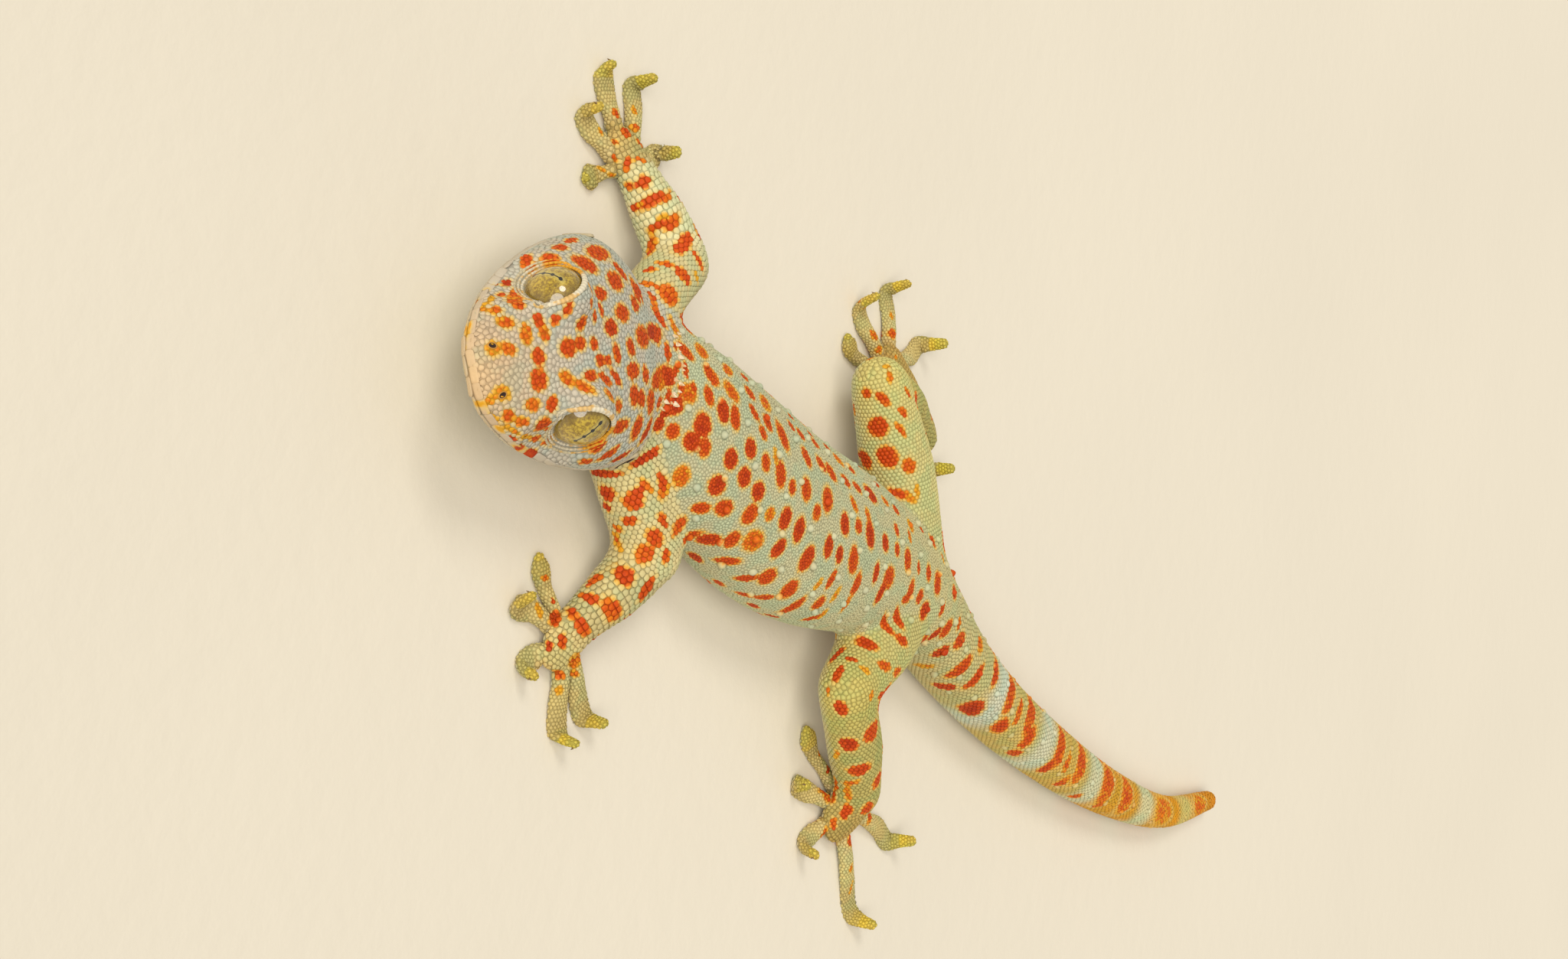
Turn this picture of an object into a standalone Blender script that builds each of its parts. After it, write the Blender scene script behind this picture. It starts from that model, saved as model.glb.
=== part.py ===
"""Tokay gecko, a life-size still model that clings flat to a level surface with its head raised and turned left.

The trunk runs along +Y towards the tail, +X is the animal's left and the floor is Z = 0. Sizes are in
millimetres and become metres when a mesh is made. Body and limbs are smooth lofts through named stations.
Each piece that grows from another is cut clear of it, so that the two meet face to face.
"""

import math

import bmesh
import bpy
import numpy as np
from mathutils import Matrix, Vector

MM = 0.001

# The places below are measured from the front of the shoulders. This moves the box's middle to the origin.
BOX_MIDDLE = np.array([10.37, 99.71, 0.0])

# Two pieces that touch keep this gap.
GAP = 0.3

# Trunk and tail: x, y, height of the axis, half width, reach above the axis, reach below it.
SPINE = {
    "nape": (0.5, -6.0, 9.0, 10.5, 6.5, 8.0),
    "neck": (3.0, 3.0, 9.8, 11.4, 7.4, 9.4),
    "withers": (5.6, 12.0, 10.2, 13.2, 8.9, 10.3),
    "chest": (8.2, 24.0, 10.3, 14.4, 9.6, 10.6),
    "trunk": (10.6, 42.0, 10.2, 15.0, 9.7, 10.6),
    "flank": (9.8, 60.0, 10.0, 13.8, 9.2, 10.4),
    "loin": (8.9, 72.0, 9.7, 11.6, 8.6, 10.0),
    "hips": (9.4, 83.0, 9.2, 9.8, 8.0, 9.5),
    "rump": (12.2, 95.0, 8.2, 7.7, 7.0, 8.4),
    "tail_root": (15.4, 106.0, 7.4, 6.9, 6.3, 7.6),
    "tail_quarter": (19.3, 124.0, 6.6, 6.3, 5.7, 6.8),
    "tail_half": (22.5, 150.5, 5.8, 5.7, 5.1, 6.0),
    "tail_three_quarters": (23.6, 182.0, 4.7, 4.7, 4.2, 4.9),
    "tail_thin": (21.0, 212.0, 3.5, 3.5, 3.1, 3.6),
    "tail_tip": (13.2, 237.0, 2.2, 2.2, 1.9, 2.3),
}
SPINE_POWER = 2.25

# Lengths of the spine: name of the node, first station, last station, rings, points round.
SPINE_NODES = (
    ("neck", "nape", "neck", 5, 24),
    ("torso", "neck", "rump", 17, 24),
    ("tail_base", "rump", "tail_quarter", 7, 18),
    ("tail_middle", "tail_quarter", "tail_three_quarters", 9, 16),
    ("tail_end", "tail_three_quarters", "tail_tip", 9, 14),
)

# Head, in its own frame: distance behind the snout, half width, height of the widest level, top, bottom.
HEAD_STATIONS = (
    (0.0, 2.6, 6.6, 7.6, 5.7),
    (0.8, 4.5, 6.6, 8.4, 5.0),
    (2.5, 6.6, 6.6, 9.3, 4.3),
    (5.2, 8.7, 6.6, 10.5, 3.4),
    (9.2, 10.9, 6.6, 12.0, 2.1),
    (13.7, 12.8, 6.7, 13.5, 1.0),
    (18.4, 14.3, 6.9, 14.7, 0.2),
    (23.3, 15.6, 7.1, 15.4, -0.4),
    (28.3, 16.4, 7.3, 15.6, -0.5),
    (32.3, 16.2, 7.4, 15.4, -0.3),
    (36.3, 14.8, 7.5, 14.7, 0.3),
    (39.8, 12.5, 7.6, 13.6, 1.3),
    (42.5, 8.6, 7.7, 12.0, 3.1),
    (43.9, 3.8, 7.8, 9.9, 5.5),
)
HEAD_POWER = 2.4
HEAD_SIDES = 26
HEAD_RINGS = 21
SNOUT = np.array([18.8, -38.6, 9.5])
HEAD_TURN = math.radians(27.5)
HEAD_LIFT = math.radians(11.5)
HEAD_ROLL = math.radians(7.0)

# Eyes: place of the middle of the opening behind the snout, out from the midline and up, radius of the
# ball and of the opening, and how deep the ball's middle lies behind the opening.
EYE_BACK = 15.1
EYE_OUT = 9.8
EYE_UP = 12.3
EYE_BALL = 4.6
EYE_OPENING = 3.75
EYE_DEPTH = 3.2
EYE_FACING = Vector((0.50, 0.82, 0.27)).normalized()
EYE_SKIN = 0.75
LID_THICK = 0.6
BROW_RISE = 1.3
BROW_SPREAD = 6.5

# Mouth line: distance behind the snout and height, then down behind the corner to the throat.
MOUTH = (
    (-3.0, 6.1),
    (2.0, 6.0),
    (7.5, 5.5),
    (13.7, 5.4),
    (20.4, 5.7),
    (25.8, 6.7),
    (27.6, 5.3),
    (28.8, 2.5),
    (29.4, -5.0),
)
# Lip plates, from the snout to the corner of the mouth: count a side, middle from the mouth line, size.
UPPER_PLATES = (9, 1.1, (1.5, 0.9))
LOWER_PLATES = (8, -1.0, (1.7, 0.75))
PLATE_RISE = 0.3
PLATE_DEPTH = 0.6
PLATES_FROM = 0.8
PLATES_TO = 24.2
# The single plates at the tip of the snout and of the chin: from the mouth line, half width and half height.
SNOUT_PLATE = (0.95, (1.9, 0.8))
CHIN_PLATE = (-0.7, (1.7, 0.55))

NOSTRIL = (2.2, 3.2, 8.8)
NOSTRIL_SIZE = 0.75
EAR = (31.9, 16.0, 8.7)
EAR_SIZE = (1.0, 2.4, 2.0)

# Limbs: stations of x, y, height of the axis, half width, half height.
LIMBS = {
    "left": {
        "upper_arm": ((10.5, -0.5, 9.6, 6.2, 5.6), (17.5, 6.8, 9.2, 5.7, 5.4), (24.8, 15.2, 7.8, 5.1, 4.9)),
        "forearm": ((25.0, 15.0, 7.6, 4.8, 4.6), (31.5, 11.4, 5.8, 4.6, 4.2), (37.2, 7.9, 3.7, 3.7, 3.1)),
        "thigh": ((12.5, 82.0, 9.4, 6.8, 6.6), (22.0, 75.0, 10.8, 6.6, 6.2), (31.0, 67.5, 11.6, 5.2, 5.0)),
        "shin": ((31.6, 68.0, 11.4, 5.1, 4.8), (38.4, 78.8, 8.0, 5.1, 4.6), (44.6, 88.2, 4.6, 4.4, 3.8)),
    },
    "right": {
        "upper_arm": ((-1.0, -2.5, 9.4, 4.9, 5.2), (-10.0, 2.0, 8.8, 4.9, 5.0), (-18.2, 8.2, 7.7, 4.9, 4.7)),
        "forearm": ((-18.8, 8.2, 7.5, 4.6, 4.5), (-24.0, 3.2, 5.8, 4.5, 4.2), (-28.8, -0.8, 3.7, 3.6, 3.1)),
        "thigh": ((3.5, 82.0, 9.4, 6.8, 6.6), (-9.0, 73.5, 9.8, 6.6, 6.2), (-20.5, 64.0, 9.6, 5.3, 5.1)),
        "shin": ((-20.8, 64.0, 9.4, 4.8, 4.7), (-21.2, 76.0, 7.0, 4.5, 4.3), (-20.0, 87.4, 4.2, 3.7, 3.4)),
    },
}

# Palms and soles: stations as for a limb, from the wrist or ankle outwards.
PALMS = {
    "hand_left": ((36.6, 8.2, 3.4, 3.3, 2.8), (40.4, 6.4, 2.5, 4.4, 2.3), (43.6, 5.8, 1.8, 3.6, 1.7)),
    "hand_right": ((-28.0, 0.0, 3.4, 3.3, 2.8), (-31.2, -2.6, 2.5, 4.4, 2.3), (-33.6, -4.8, 1.8, 3.6, 1.7)),
    "foot_left": ((43.6, 88.6, 4.0, 3.6, 3.4), (47.4, 87.4, 2.8, 5.4, 2.6), (51.0, 86.2, 1.9, 4.6, 1.8)),
    "foot_right": ((-19.6, 88.8, 4.0, 3.5, 3.4), (-25.4, 83.0, 3.0, 3.9, 2.8), (-30.0, 76.8, 2.0, 4.6, 1.9)),
}

# Digits: root, middle of the pad, end of the pad, and the raised tip with its height.
DIGITS = {
    "hand_left": {
        "first": ((38.0, 4.8), (34.4, 2.0), (31.0, -0.4), (29.9, -1.1, 0.9)),
        "second": ((39.2, 3.6), (38.0, 0.0), (38.4, -3.0), (36.8, -4.7, 4.0)),
        "third": ((42.0, 5.2), (43.8, 3.2), (46.2, 1.0), (47.8, 0.2, 3.4)),
        "fourth": ((43.6, 8.0), (49.4, 10.2), (53.4, 12.0), (54.8, 12.2, 3.6)),
        "fifth": ((42.6, 10.2), (46.8, 14.0), (49.6, 17.0), (50.4, 17.8, 3.8)),
    },
    "hand_right": {
        "first": ((-28.6, -3.8), (-26.6, -6.6), (-25.1, -8.6), (-24.7, -9.4, 0.9)),
        "second": ((-30.4, -6.0), (-32.0, -9.8), (-33.9, -12.2), (-34.5, -13.2, 3.8)),
        "third": ((-33.4, -5.2), (-38.0, -7.8), (-41.8, -9.8), (-42.9, -10.7, 2.2)),
        "fourth": ((-33.8, -1.4), (-39.8, -1.8), (-43.1, -2.9), (-44.4, -2.9, 4.2)),
        "fifth": ((-31.4, 1.6), (-34.0, 4.4), (-35.6, 5.4), (-36.0, 6.2, 4.6)),
    },
    "foot_left": {
        "first": ((44.0, 83.6), (40.6, 77.8), (37.4, 74.6), (36.6, 73.8, 0.9)),
        "second": ((47.2, 82.8), (46.8, 78.0), (46.4, 74.4), (46.6, 72.4, 3.8)),
        "third": ((50.4, 84.4), (53.2, 81.6), (55.7, 79.8), (57.4, 78.9, 3.8)),
        "fourth": ((52.0, 90.4), (58.0, 95.0), (64.0, 99.7), (65.1, 101.3, 3.8)),
        "fifth": ((47.0, 92.4), (47.8, 102.0), (49.3, 106.6), (48.4, 108.4, 4.6)),
    },
    "foot_right": {
        "first": ((-27.2, 73.4), (-27.4, 68.2), (-29.3, 65.2), (-30.1, 64.5, 0.9)),
        "second": ((-30.4, 73.6), (-33.4, 69.2), (-36.1, 66.9), (-37.6, 65.0, 4.6)),
        "third": ((-32.8, 76.8), (-38.4, 76.2), (-42.3, 74.4), (-44.0, 74.4, 4.6)),
        "fourth": ((-31.2, 80.6), (-34.6, 85.8), (-37.4, 87.9), (-38.2, 89.4, 5.2)),
        "fifth": ((-20.2, 89.4), (-18.4, 96.0), (-17.4, 98.8), (-18.2, 100.0, 4.6)),
    },
}

# A digit's half width and half height at its root, at the middle and end of its pad, and at its tip.
DIGIT_ROOT = (1.25, 1.2)
DIGIT_PAD = (1.6, 0.8)
DIGIT_PAD_END = (1.5, 0.8)
DIGIT_TIP = (0.55, 0.55)
DIGIT_RINGS = 7
DIGIT_SIDES = 7

# Tubercles, raised cones of the skin: radius at the skin, height above it and depth below it.
TUBERCLE = (0.95, 0.75, 0.6)
TUBERCLE_SIDES = 4
# Rows of tubercles round the trunk (as fractions of the half turn over the back) and their spacing along it.
TRUNK_ROWS = (0.1, 0.26, 0.42, 0.58, 0.74, 0.9)
TRUNK_FROM = 8.0
TRUNK_TO = 84.0
TRUNK_SPACING = 9.4
# Whorls of tubercles round the tail: distance along the spine of the first and last, spacing, rows.
TAIL_FROM = 106.0
TAIL_TO = 214.0
TAIL_SPACING = 10.0
TAIL_ROWS = (0.1, 0.3, 0.5, 0.7, 0.9)
NAPE_ROWS = (0.25, 0.375, 0.5, 0.625, 0.75)
NAPE_AT = (6.2,)

COLOURS = {
    "head": (0.56, 0.60, 0.60),
    "lower_jaw": (0.72, 0.68, 0.54),
    "eye": (0.36, 0.30, 0.07),
    "neck": (0.58, 0.60, 0.52),
    "torso": (0.58, 0.61, 0.50),
    "tail": (0.56, 0.62, 0.60),
    "upper_arm": (0.62, 0.60, 0.42),
    "forearm": (0.60, 0.58, 0.40),
    "hand": (0.56, 0.47, 0.28),
    "thigh": (0.60, 0.60, 0.40),
    "shin": (0.60, 0.56, 0.34),
    "foot": (0.54, 0.47, 0.26),
}
SKIN_ROUGHNESS = 0.6
EYE_ROUGHNESS = 0.1
SOLVER = "MANIFOLD"


def clear_scene():
    for old in list(bpy.data.objects):
        bpy.data.objects.remove(old, do_unlink=True)


def make_material(name, colour, roughness):
    material = bpy.data.materials.new(name)
    material.use_nodes = True
    shader = material.node_tree.nodes["Principled BSDF"]
    shader.inputs["Base Color"].default_value = (*colour, 1.0)
    shader.inputs["Roughness"].default_value = roughness
    shader.inputs["Metallic"].default_value = 0.0
    return material


def flow(rows, count=None, at=None):
    """Rows carried smoothly along a path: cubic pieces through every row, timed by the distance between places."""
    rows = np.array(rows, float)
    steps = np.linalg.norm(np.diff(rows[:, :3], axis=0), axis=1)
    knots = np.concatenate([[0.0], np.cumsum(steps)])
    slopes = np.gradient(rows, knots, axis=0)
    if at is None:
        at = np.linspace(0.0, knots[-1], count)
    piece = np.clip(np.searchsorted(knots, at, side="right") - 1, 0, len(knots) - 2)
    span = (knots[piece + 1] - knots[piece])[:, None]
    u = (at - knots[piece])[:, None] / span
    start = (1 + 2 * u) * (1 - u) ** 2 * rows[piece] + u * (1 - u) ** 2 * span * slopes[piece]
    end = u**2 * (3 - 2 * u) * rows[piece + 1] + u**2 * (u - 1) * span * slopes[piece + 1]
    return start + end


def frames_along(places):
    """The direction of travel, the way to the left and the way up at each place of a path."""
    ahead = np.gradient(places, axis=0)
    ahead /= np.linalg.norm(ahead, axis=1)[:, None]
    left = np.cross([0.0, 0.0, 1.0], ahead)
    left /= np.linalg.norm(left, axis=1)[:, None]
    return ahead, left, np.cross(ahead, left)


def oval(half_width, above, below, power, sides):
    """Points round a superellipse, as left and up: |left/width|^power + |up/height|^power = 1."""
    turn = np.arange(sides) * 2 * np.pi / sides
    c = np.cos(turn)
    s = np.sin(turn)
    across = half_width * np.sign(c) * np.abs(c) ** (2 / power)
    rise = np.where(s > 0, above, below) * np.sign(s) * np.abs(s) ** (2 / power)
    return across, rise


def tube_rings(places, left, up, widths, above, below, power, sides):
    """One oval ring at each place of a path."""
    rings = []
    for i, place in enumerate(places):
        across, rise = oval(widths[i], above[i], below[i], power, sides)
        rings.append(place + np.outer(across, left[i]) + np.outer(rise, up[i]))
    return rings


def add_object(name, mesh, collection):
    obj = bpy.data.objects.new(name, mesh)
    collection.objects.link(obj)
    return obj


def loft(name, rings, collection):
    """A closed mesh through rings of equally many points, fanned shut at both ends and laid flat on the floor."""
    sides = len(rings[0])
    points = np.concatenate(rings)
    ends = np.array([rings[0].mean(axis=0), rings[-1].mean(axis=0)])
    points = np.concatenate([points, ends])
    points[:, 2] = np.maximum(points[:, 2], 0.0)
    points = (points - BOX_MIDDLE) * MM
    last = (len(rings) - 1) * sides
    first_pole = len(rings) * sides
    faces = []
    for ring in range(len(rings) - 1):
        for side in range(sides):
            a = ring * sides + side
            b = ring * sides + (side + 1) % sides
            faces.append((a, b, b + sides, a + sides))
    for side in range(sides):
        beside = (side + 1) % sides
        faces.append((first_pole, beside, side))
        faces.append((first_pole + 1, last + side, last + beside))
    mesh = bpy.data.meshes.new(name)
    mesh.from_pydata(points.tolist(), [], faces)
    triangulate(mesh)
    return add_object(name, mesh, collection)


def triangulate(mesh):
    soft = bmesh.new()
    soft.from_mesh(mesh)
    bmesh.ops.triangulate(soft, faces=soft.faces)
    soft.to_mesh(mesh)
    soft.free()


def rounded_tube(name, rows, rings, sides, power, collection, dome_degrees=(30, 60)):
    """A limb: rings along its rows and a dome at each end. A row is x, y, z, half width, half height."""
    table = flow([(x, y, z, w, h) for x, y, z, w, h in rows], count=rings)
    places = table[:, :3]
    ahead, left, up = frames_along(places)
    body = tube_rings(places, left, up, table[:, 3], table[:, 4], table[:, 4], power, sides)
    start_cap = []
    end_cap = []
    for angle in np.radians(dome_degrees):
        for at, sign, cap in ((0, -1, start_cap), (-1, 1, end_cap)):
            reach = 0.5 * (table[at, 3] + table[at, 4]) * math.sin(angle)
            across, rise = oval(
                table[at, 3] * math.cos(angle),
                table[at, 4] * math.cos(angle),
                table[at, 4] * math.cos(angle),
                power,
                sides,
            )
            centre = places[at] + sign * reach * ahead[at]
            cap.append(centre + np.outer(across, left[at]) + np.outer(rise, up[at]))
    return loft(name, start_cap[::-1] + body + end_cap, collection)


def head_matrix():
    """From the head's own frame (ahead from the snout, left, up) to the body's, in millimetres."""
    turn = Matrix.Rotation(HEAD_TURN - math.pi / 2, 4, "Z")
    lift = Matrix.Rotation(-HEAD_LIFT, 4, "Y")
    roll = Matrix.Rotation(HEAD_ROLL, 4, "X")
    return Matrix.Translation(Vector(SNOUT)) @ turn @ lift @ roll


def in_head(back, out, up):
    """A place on the head, from its distance behind the snout, out to the left and up."""
    return np.array(head_matrix() @ Vector((-back, out, up)))


def world_matrix_in_head(place, basis):
    """Where a primitive stands, in metres, when its place and axes are given in the head's frame in millimetres."""
    shift = Matrix.Translation(Vector(-BOX_MIDDLE))
    local = Matrix.Translation(Vector((-place[0], place[1], place[2]))) @ basis
    return Matrix.Scale(MM, 4) @ shift @ head_matrix() @ local


def eye_outward(side):
    """The way an eye looks, in the head's frame; side is 1 on the left and -1 on the right."""
    return Vector((EYE_FACING.x, side * EYE_FACING.y, EYE_FACING.z))


def eyeball_middle(side):
    """The middle of an eyeball, set back from its opening so that the ball fills it."""
    opening = Vector((-EYE_BACK, side * EYE_OUT, EYE_UP))
    return opening - EYE_DEPTH * eye_outward(side)


def head_rings():
    """Rings of the head, with the brows swollen over the eyes."""
    rows = [(back, 0.0, 0.0, width, level, top, bottom) for back, width, level, top, bottom in HEAD_STATIONS]
    table = flow(rows, count=HEAD_RINGS)
    matrix = np.array(head_matrix())
    rings = []
    for back, _, _, width, level, top, bottom in table[::-1]:
        across, rise = oval(width, top - level, level - bottom, HEAD_POWER, HEAD_SIDES)
        points = np.stack([np.full(HEAD_SIDES, -back), across, level + rise], axis=1)
        for side in (1, -1):
            away = np.linalg.norm(points - np.array(eyeball_middle(side)), axis=1)
            swell = BROW_RISE * np.exp(-((away / BROW_SPREAD) ** 2))
            points = points + swell[:, None] * np.array(eye_outward(side))
        rings.append(points @ matrix[:3, :3].T + matrix[:3, 3])
    return rings


def primitive(kind, name, matrix, collection, **sizes):
    """A bmesh primitive set in place by a matrix."""
    soft = bmesh.new()
    if kind == "ball":
        bmesh.ops.create_uvsphere(soft, **sizes)
    else:
        bmesh.ops.create_cone(soft, cap_ends=True, cap_tris=True, **sizes)
    bmesh.ops.transform(soft, matrix=matrix, verts=soft.verts)
    if matrix.determinant() < 0:
        bmesh.ops.reverse_faces(soft, faces=soft.faces)
    bmesh.ops.triangulate(soft, faces=soft.faces)
    mesh = bpy.data.meshes.new(name)
    soft.to_mesh(mesh)
    soft.free()
    return add_object(name, mesh, collection)


def facing_basis(side):
    """Axes of one eye: X along the lids, Z out of the eye."""
    out = eye_outward(side)
    along = Vector((1.0, 0.0, 0.0))
    along = (along - along.dot(out) * out).normalized()
    return Matrix((along, out.cross(along), out)).transposed().to_4x4()


def apply_modifiers(obj):
    """The object's evaluated mesh becomes its mesh."""
    graph = bpy.context.evaluated_depsgraph_get()
    mesh = bpy.data.meshes.new_from_object(obj.evaluated_get(graph))
    old = obj.data
    obj.modifiers.clear()
    obj.data = mesh
    mesh.name = obj.name
    bpy.data.meshes.remove(old)


def grown(obj, by, collection):
    """A copy of a solid, larger all round by a distance in millimetres."""
    copy = add_object("cutter_" + obj.name, obj.data.copy(), collection)
    copy.hide_render = True
    copy.display_type = "WIRE"
    swell = copy.modifiers.new("swell", "DISPLACE")
    swell.strength = by * MM
    swell.mid_level = 0.0
    apply_modifiers(copy)
    return copy


def islands_of(soft):
    """The vertices of each connected surface of a bmesh."""
    islands = []
    left = set(soft.verts)
    while left:
        seed = left.pop()
        island = {seed}
        waiting = [seed]
        while waiting:
            vert = waiting.pop()
            for edge in vert.link_edges:
                other = edge.other_vert(vert)
                if other not in island:
                    island.add(other)
                    waiting.append(other)
        left -= island
        islands.append(island)
    return islands


def volume_of(island):
    """The volume that one connected surface holds."""
    volume = 0.0
    for face in {face for vert in island for face in vert.link_faces}:
        corners = [loop.vert.co for loop in face.loops]
        for i in range(1, len(corners) - 1):
            volume += corners[0].dot(corners[i].cross(corners[i + 1])) / 6
    return volume


def keep_islands(obj, wanted):
    """Only the connected surfaces that wanted picks from the list stay."""
    soft = bmesh.new()
    soft.from_mesh(obj.data)
    islands = sorted(islands_of(soft), key=volume_of, reverse=True)
    kept = wanted(islands)
    for island in islands:
        if island is not kept:
            bmesh.ops.delete(soft, geom=list(island), context="VERTS")
    bmesh.ops.triangulate(soft, faces=soft.faces)
    soft.to_mesh(obj.data)
    soft.free()


def keep_largest(obj):
    """Only the closed surface of the largest volume stays."""
    keep_islands(obj, lambda islands: islands[0])


def subtract(obj, cutters):
    """Takes each cutter away from a solid."""
    for number, cutter in enumerate(cutters):
        modifier = obj.modifiers.new("cut_%d" % number, "BOOLEAN")
        modifier.operation = "DIFFERENCE"
        modifier.object = cutter
        modifier.solver = SOLVER
    apply_modifiers(obj)


def cut(obj, cutters):
    """Takes each cutter away and keeps the largest piece."""
    subtract(obj, cutters)
    keep_largest(obj)


def fuse(obj, pieces, collection):
    """Joins closed pieces to a solid by one union on their collection, and removes them."""
    if not pieces:
        return
    group = bpy.data.collections.new("pieces_" + obj.name)
    bpy.context.scene.collection.children.link(group)
    for piece in pieces:
        collection.objects.unlink(piece)
        group.objects.link(piece)
    modifier = obj.modifiers.new("fuse", "BOOLEAN")
    modifier.operation = "UNION"
    modifier.operand_type = "COLLECTION"
    modifier.collection = group
    modifier.solver = SOLVER
    apply_modifiers(obj)
    for piece in pieces:
        bpy.data.objects.remove(piece, do_unlink=True)
    bpy.data.collections.remove(group)
    keep_largest(obj)


def spine_distances():
    """How far along the spine each named station lies."""
    places = np.array([row[:3] for row in SPINE.values()])
    steps = np.linalg.norm(np.diff(places, axis=0), axis=1)
    return dict(zip(SPINE, np.concatenate([[0.0], np.cumsum(steps)])))


def spine_frames(at):
    """Places, left and up along the spine, with its half widths and reaches."""
    table = flow(list(SPINE.values()), at=at)
    near = flow(list(SPINE.values()), at=at + 0.5)
    before = flow(list(SPINE.values()), at=at - 0.5)
    ahead = near[:, :3] - before[:, :3]
    ahead[:, 2] = 0.0
    ahead /= np.linalg.norm(ahead, axis=1)[:, None]
    left = np.cross([0.0, 0.0, 1.0], ahead)
    up = np.tile([0.0, 0.0, 1.0], (len(at), 1))
    return table, ahead, left, up


def make_spine(parts):
    """Neck, torso and three lengths of tail, parted by flat cuts a gap wide."""
    distances = spine_distances()
    made = {}
    for name, first, last, rings, sides in SPINE_NODES:
        start = distances[first] + (0.0 if first == "nape" else GAP / 2)
        end = distances[last] - (0.0 if last == "tail_tip" else GAP / 2)
        at = np.linspace(start, end, rings)
        table, ahead, left, up = spine_frames(at)
        body = tube_rings(
            table[:, :3], left, up, table[:, 3], table[:, 4], table[:, 5], SPINE_POWER, sides
        )
        if last == "tail_tip":
            for angle in (math.radians(35), math.radians(65)):
                across, rise = oval(
                    table[-1, 3] * math.cos(angle),
                    table[-1, 4] * math.cos(angle),
                    table[-1, 5] * math.cos(angle),
                    SPINE_POWER,
                    sides,
                )
                centre = table[-1, :3] + ahead[-1] * table[-1, 3] * math.sin(angle)
                body.append(centre + np.outer(across, left[-1]) + np.outer(rise, up[-1]))
        made[name] = loft(name, body, parts)
    return made


def mouth_sheet(collection):
    """A thin sheet along the mouth line and down to the throat, as wide as the head."""
    line = np.array(MOUTH)
    ahead = np.gradient(line, axis=0)
    ahead /= np.linalg.norm(ahead, axis=1)[:, None]
    across = np.stack([-ahead[:, 1], ahead[:, 0]], axis=1)
    half = GAP / 2
    outline = np.concatenate([line + half * across, (line - half * across)[::-1]])
    reach = 22.0
    rings = []
    for out in (-reach, reach):
        rings.append(np.array([in_head(back, out, up) for back, up in outline]))
    mesh = bpy.data.meshes.new("mouth_sheet")
    count = len(outline)
    points = (np.concatenate(rings) - BOX_MIDDLE) * MM
    faces = [tuple(range(count)), tuple(range(2 * count - 1, count - 1, -1))]
    for i in range(count):
        j = (i + 1) % count
        faces.append((i, i + count, j + count, j))
    mesh.from_pydata(points.tolist(), [], faces)
    soft = bmesh.new()
    soft.from_mesh(mesh)
    bmesh.ops.triangulate(soft, faces=soft.faces)
    bmesh.ops.recalc_face_normals(soft, faces=soft.faces)
    soft.to_mesh(mesh)
    soft.free()
    sheet = add_object("mouth_sheet", mesh, collection)
    sheet.hide_render = True
    sheet.display_type = "WIRE"
    return sheet


def mean_height(island):
    return sum(vert.co.z for vert in island) / len(island)


def split_jaw(head, parts):
    """Parts the lower jaw, the lower of the two largest surfaces, from the head."""
    jaw = head.copy()
    jaw.data = head.data.copy()
    jaw.name = "lower_jaw"
    parts.objects.link(jaw)
    keep_islands(head, lambda islands: max(islands[:2], key=mean_height))
    keep_islands(jaw, lambda islands: min(islands[:2], key=mean_height))


def head_side(back, up):
    """How far out the side of the head lies at a distance behind the snout and a height."""
    rows = [(place, 0.0, 0.0, *sizes) for place, *sizes in HEAD_STATIONS]
    _, _, _, width, level, top, bottom = flow(rows, at=np.array([back]))[0]
    reach = top - level if up > level else level - bottom
    return width * max(0.0, 1 - (abs(up - level) / reach) ** HEAD_POWER) ** (1 / HEAD_POWER)


def plate(name, place, along, normal, size, helpers):
    """A four-sided plate of the lip, narrower at its face: place and directions in the head's frame."""
    across = normal.cross(along)
    axes = Matrix((along, across, normal)).transposed().to_4x4()
    basis = axes @ Matrix.Diagonal((size[0], size[1], 1.0, 1.0)) @ Matrix.Rotation(math.pi / 4, 4, "Z")
    middle = Vector(place) + normal * 0.5 * (PLATE_RISE - PLATE_DEPTH)
    matrix = world_matrix_in_head((-middle.x, middle.y, middle.z), basis)
    depth = PLATE_RISE + PLATE_DEPTH
    return primitive("cone", name, matrix, helpers, segments=4, radius1=1.5, radius2=1.2, depth=depth)


def lip_plates(side, count, rise, size, helpers):
    """A row of lip plates on one side, evenly spaced along the lip and each turned to lie along it."""
    line = np.array(MOUTH)
    fine = np.linspace(PLATES_FROM, PLATES_TO, 120)
    levels = np.interp(fine, line[:, 0], line[:, 1]) + rise
    reach = np.array([head_side(back, up) for back, up in zip(fine, levels)])
    steps = np.linalg.norm(np.diff(np.stack([fine, reach, levels]), axis=1), axis=0)
    travelled = np.concatenate([[0.0], np.cumsum(steps)])
    plates = []
    for back in np.interp(np.linspace(0.0, travelled[-1], count), travelled, fine):
        up = np.interp(back, line[:, 0], line[:, 1]) + rise
        here, before, behind, over, under = (
            np.array([-at, side * head_side(at, height), height])
            for at, height in (
                (back, up),
                (back - 0.5, up),
                (back + 0.5, up),
                (back, up + 0.3),
                (back, up - 0.3),
            )
        )
        along = Vector(before - behind).normalized()
        normal = (side * Vector(over - under).cross(along)).normalized()
        plates.append(plate("plate_%.1f" % back, here, along, normal, size, helpers))
    return plates


def front_plate(name, rise, size, helpers):
    """The single plate in the middle of a lip."""
    line = np.array(MOUTH)
    place = (0.25, 0.0, np.interp(0.0, line[:, 0], line[:, 1]) + rise)
    return plate(name, place, Vector((0.0, 1.0, 0.0)), Vector((1.0, 0.0, 0.0)), size, helpers)


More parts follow.
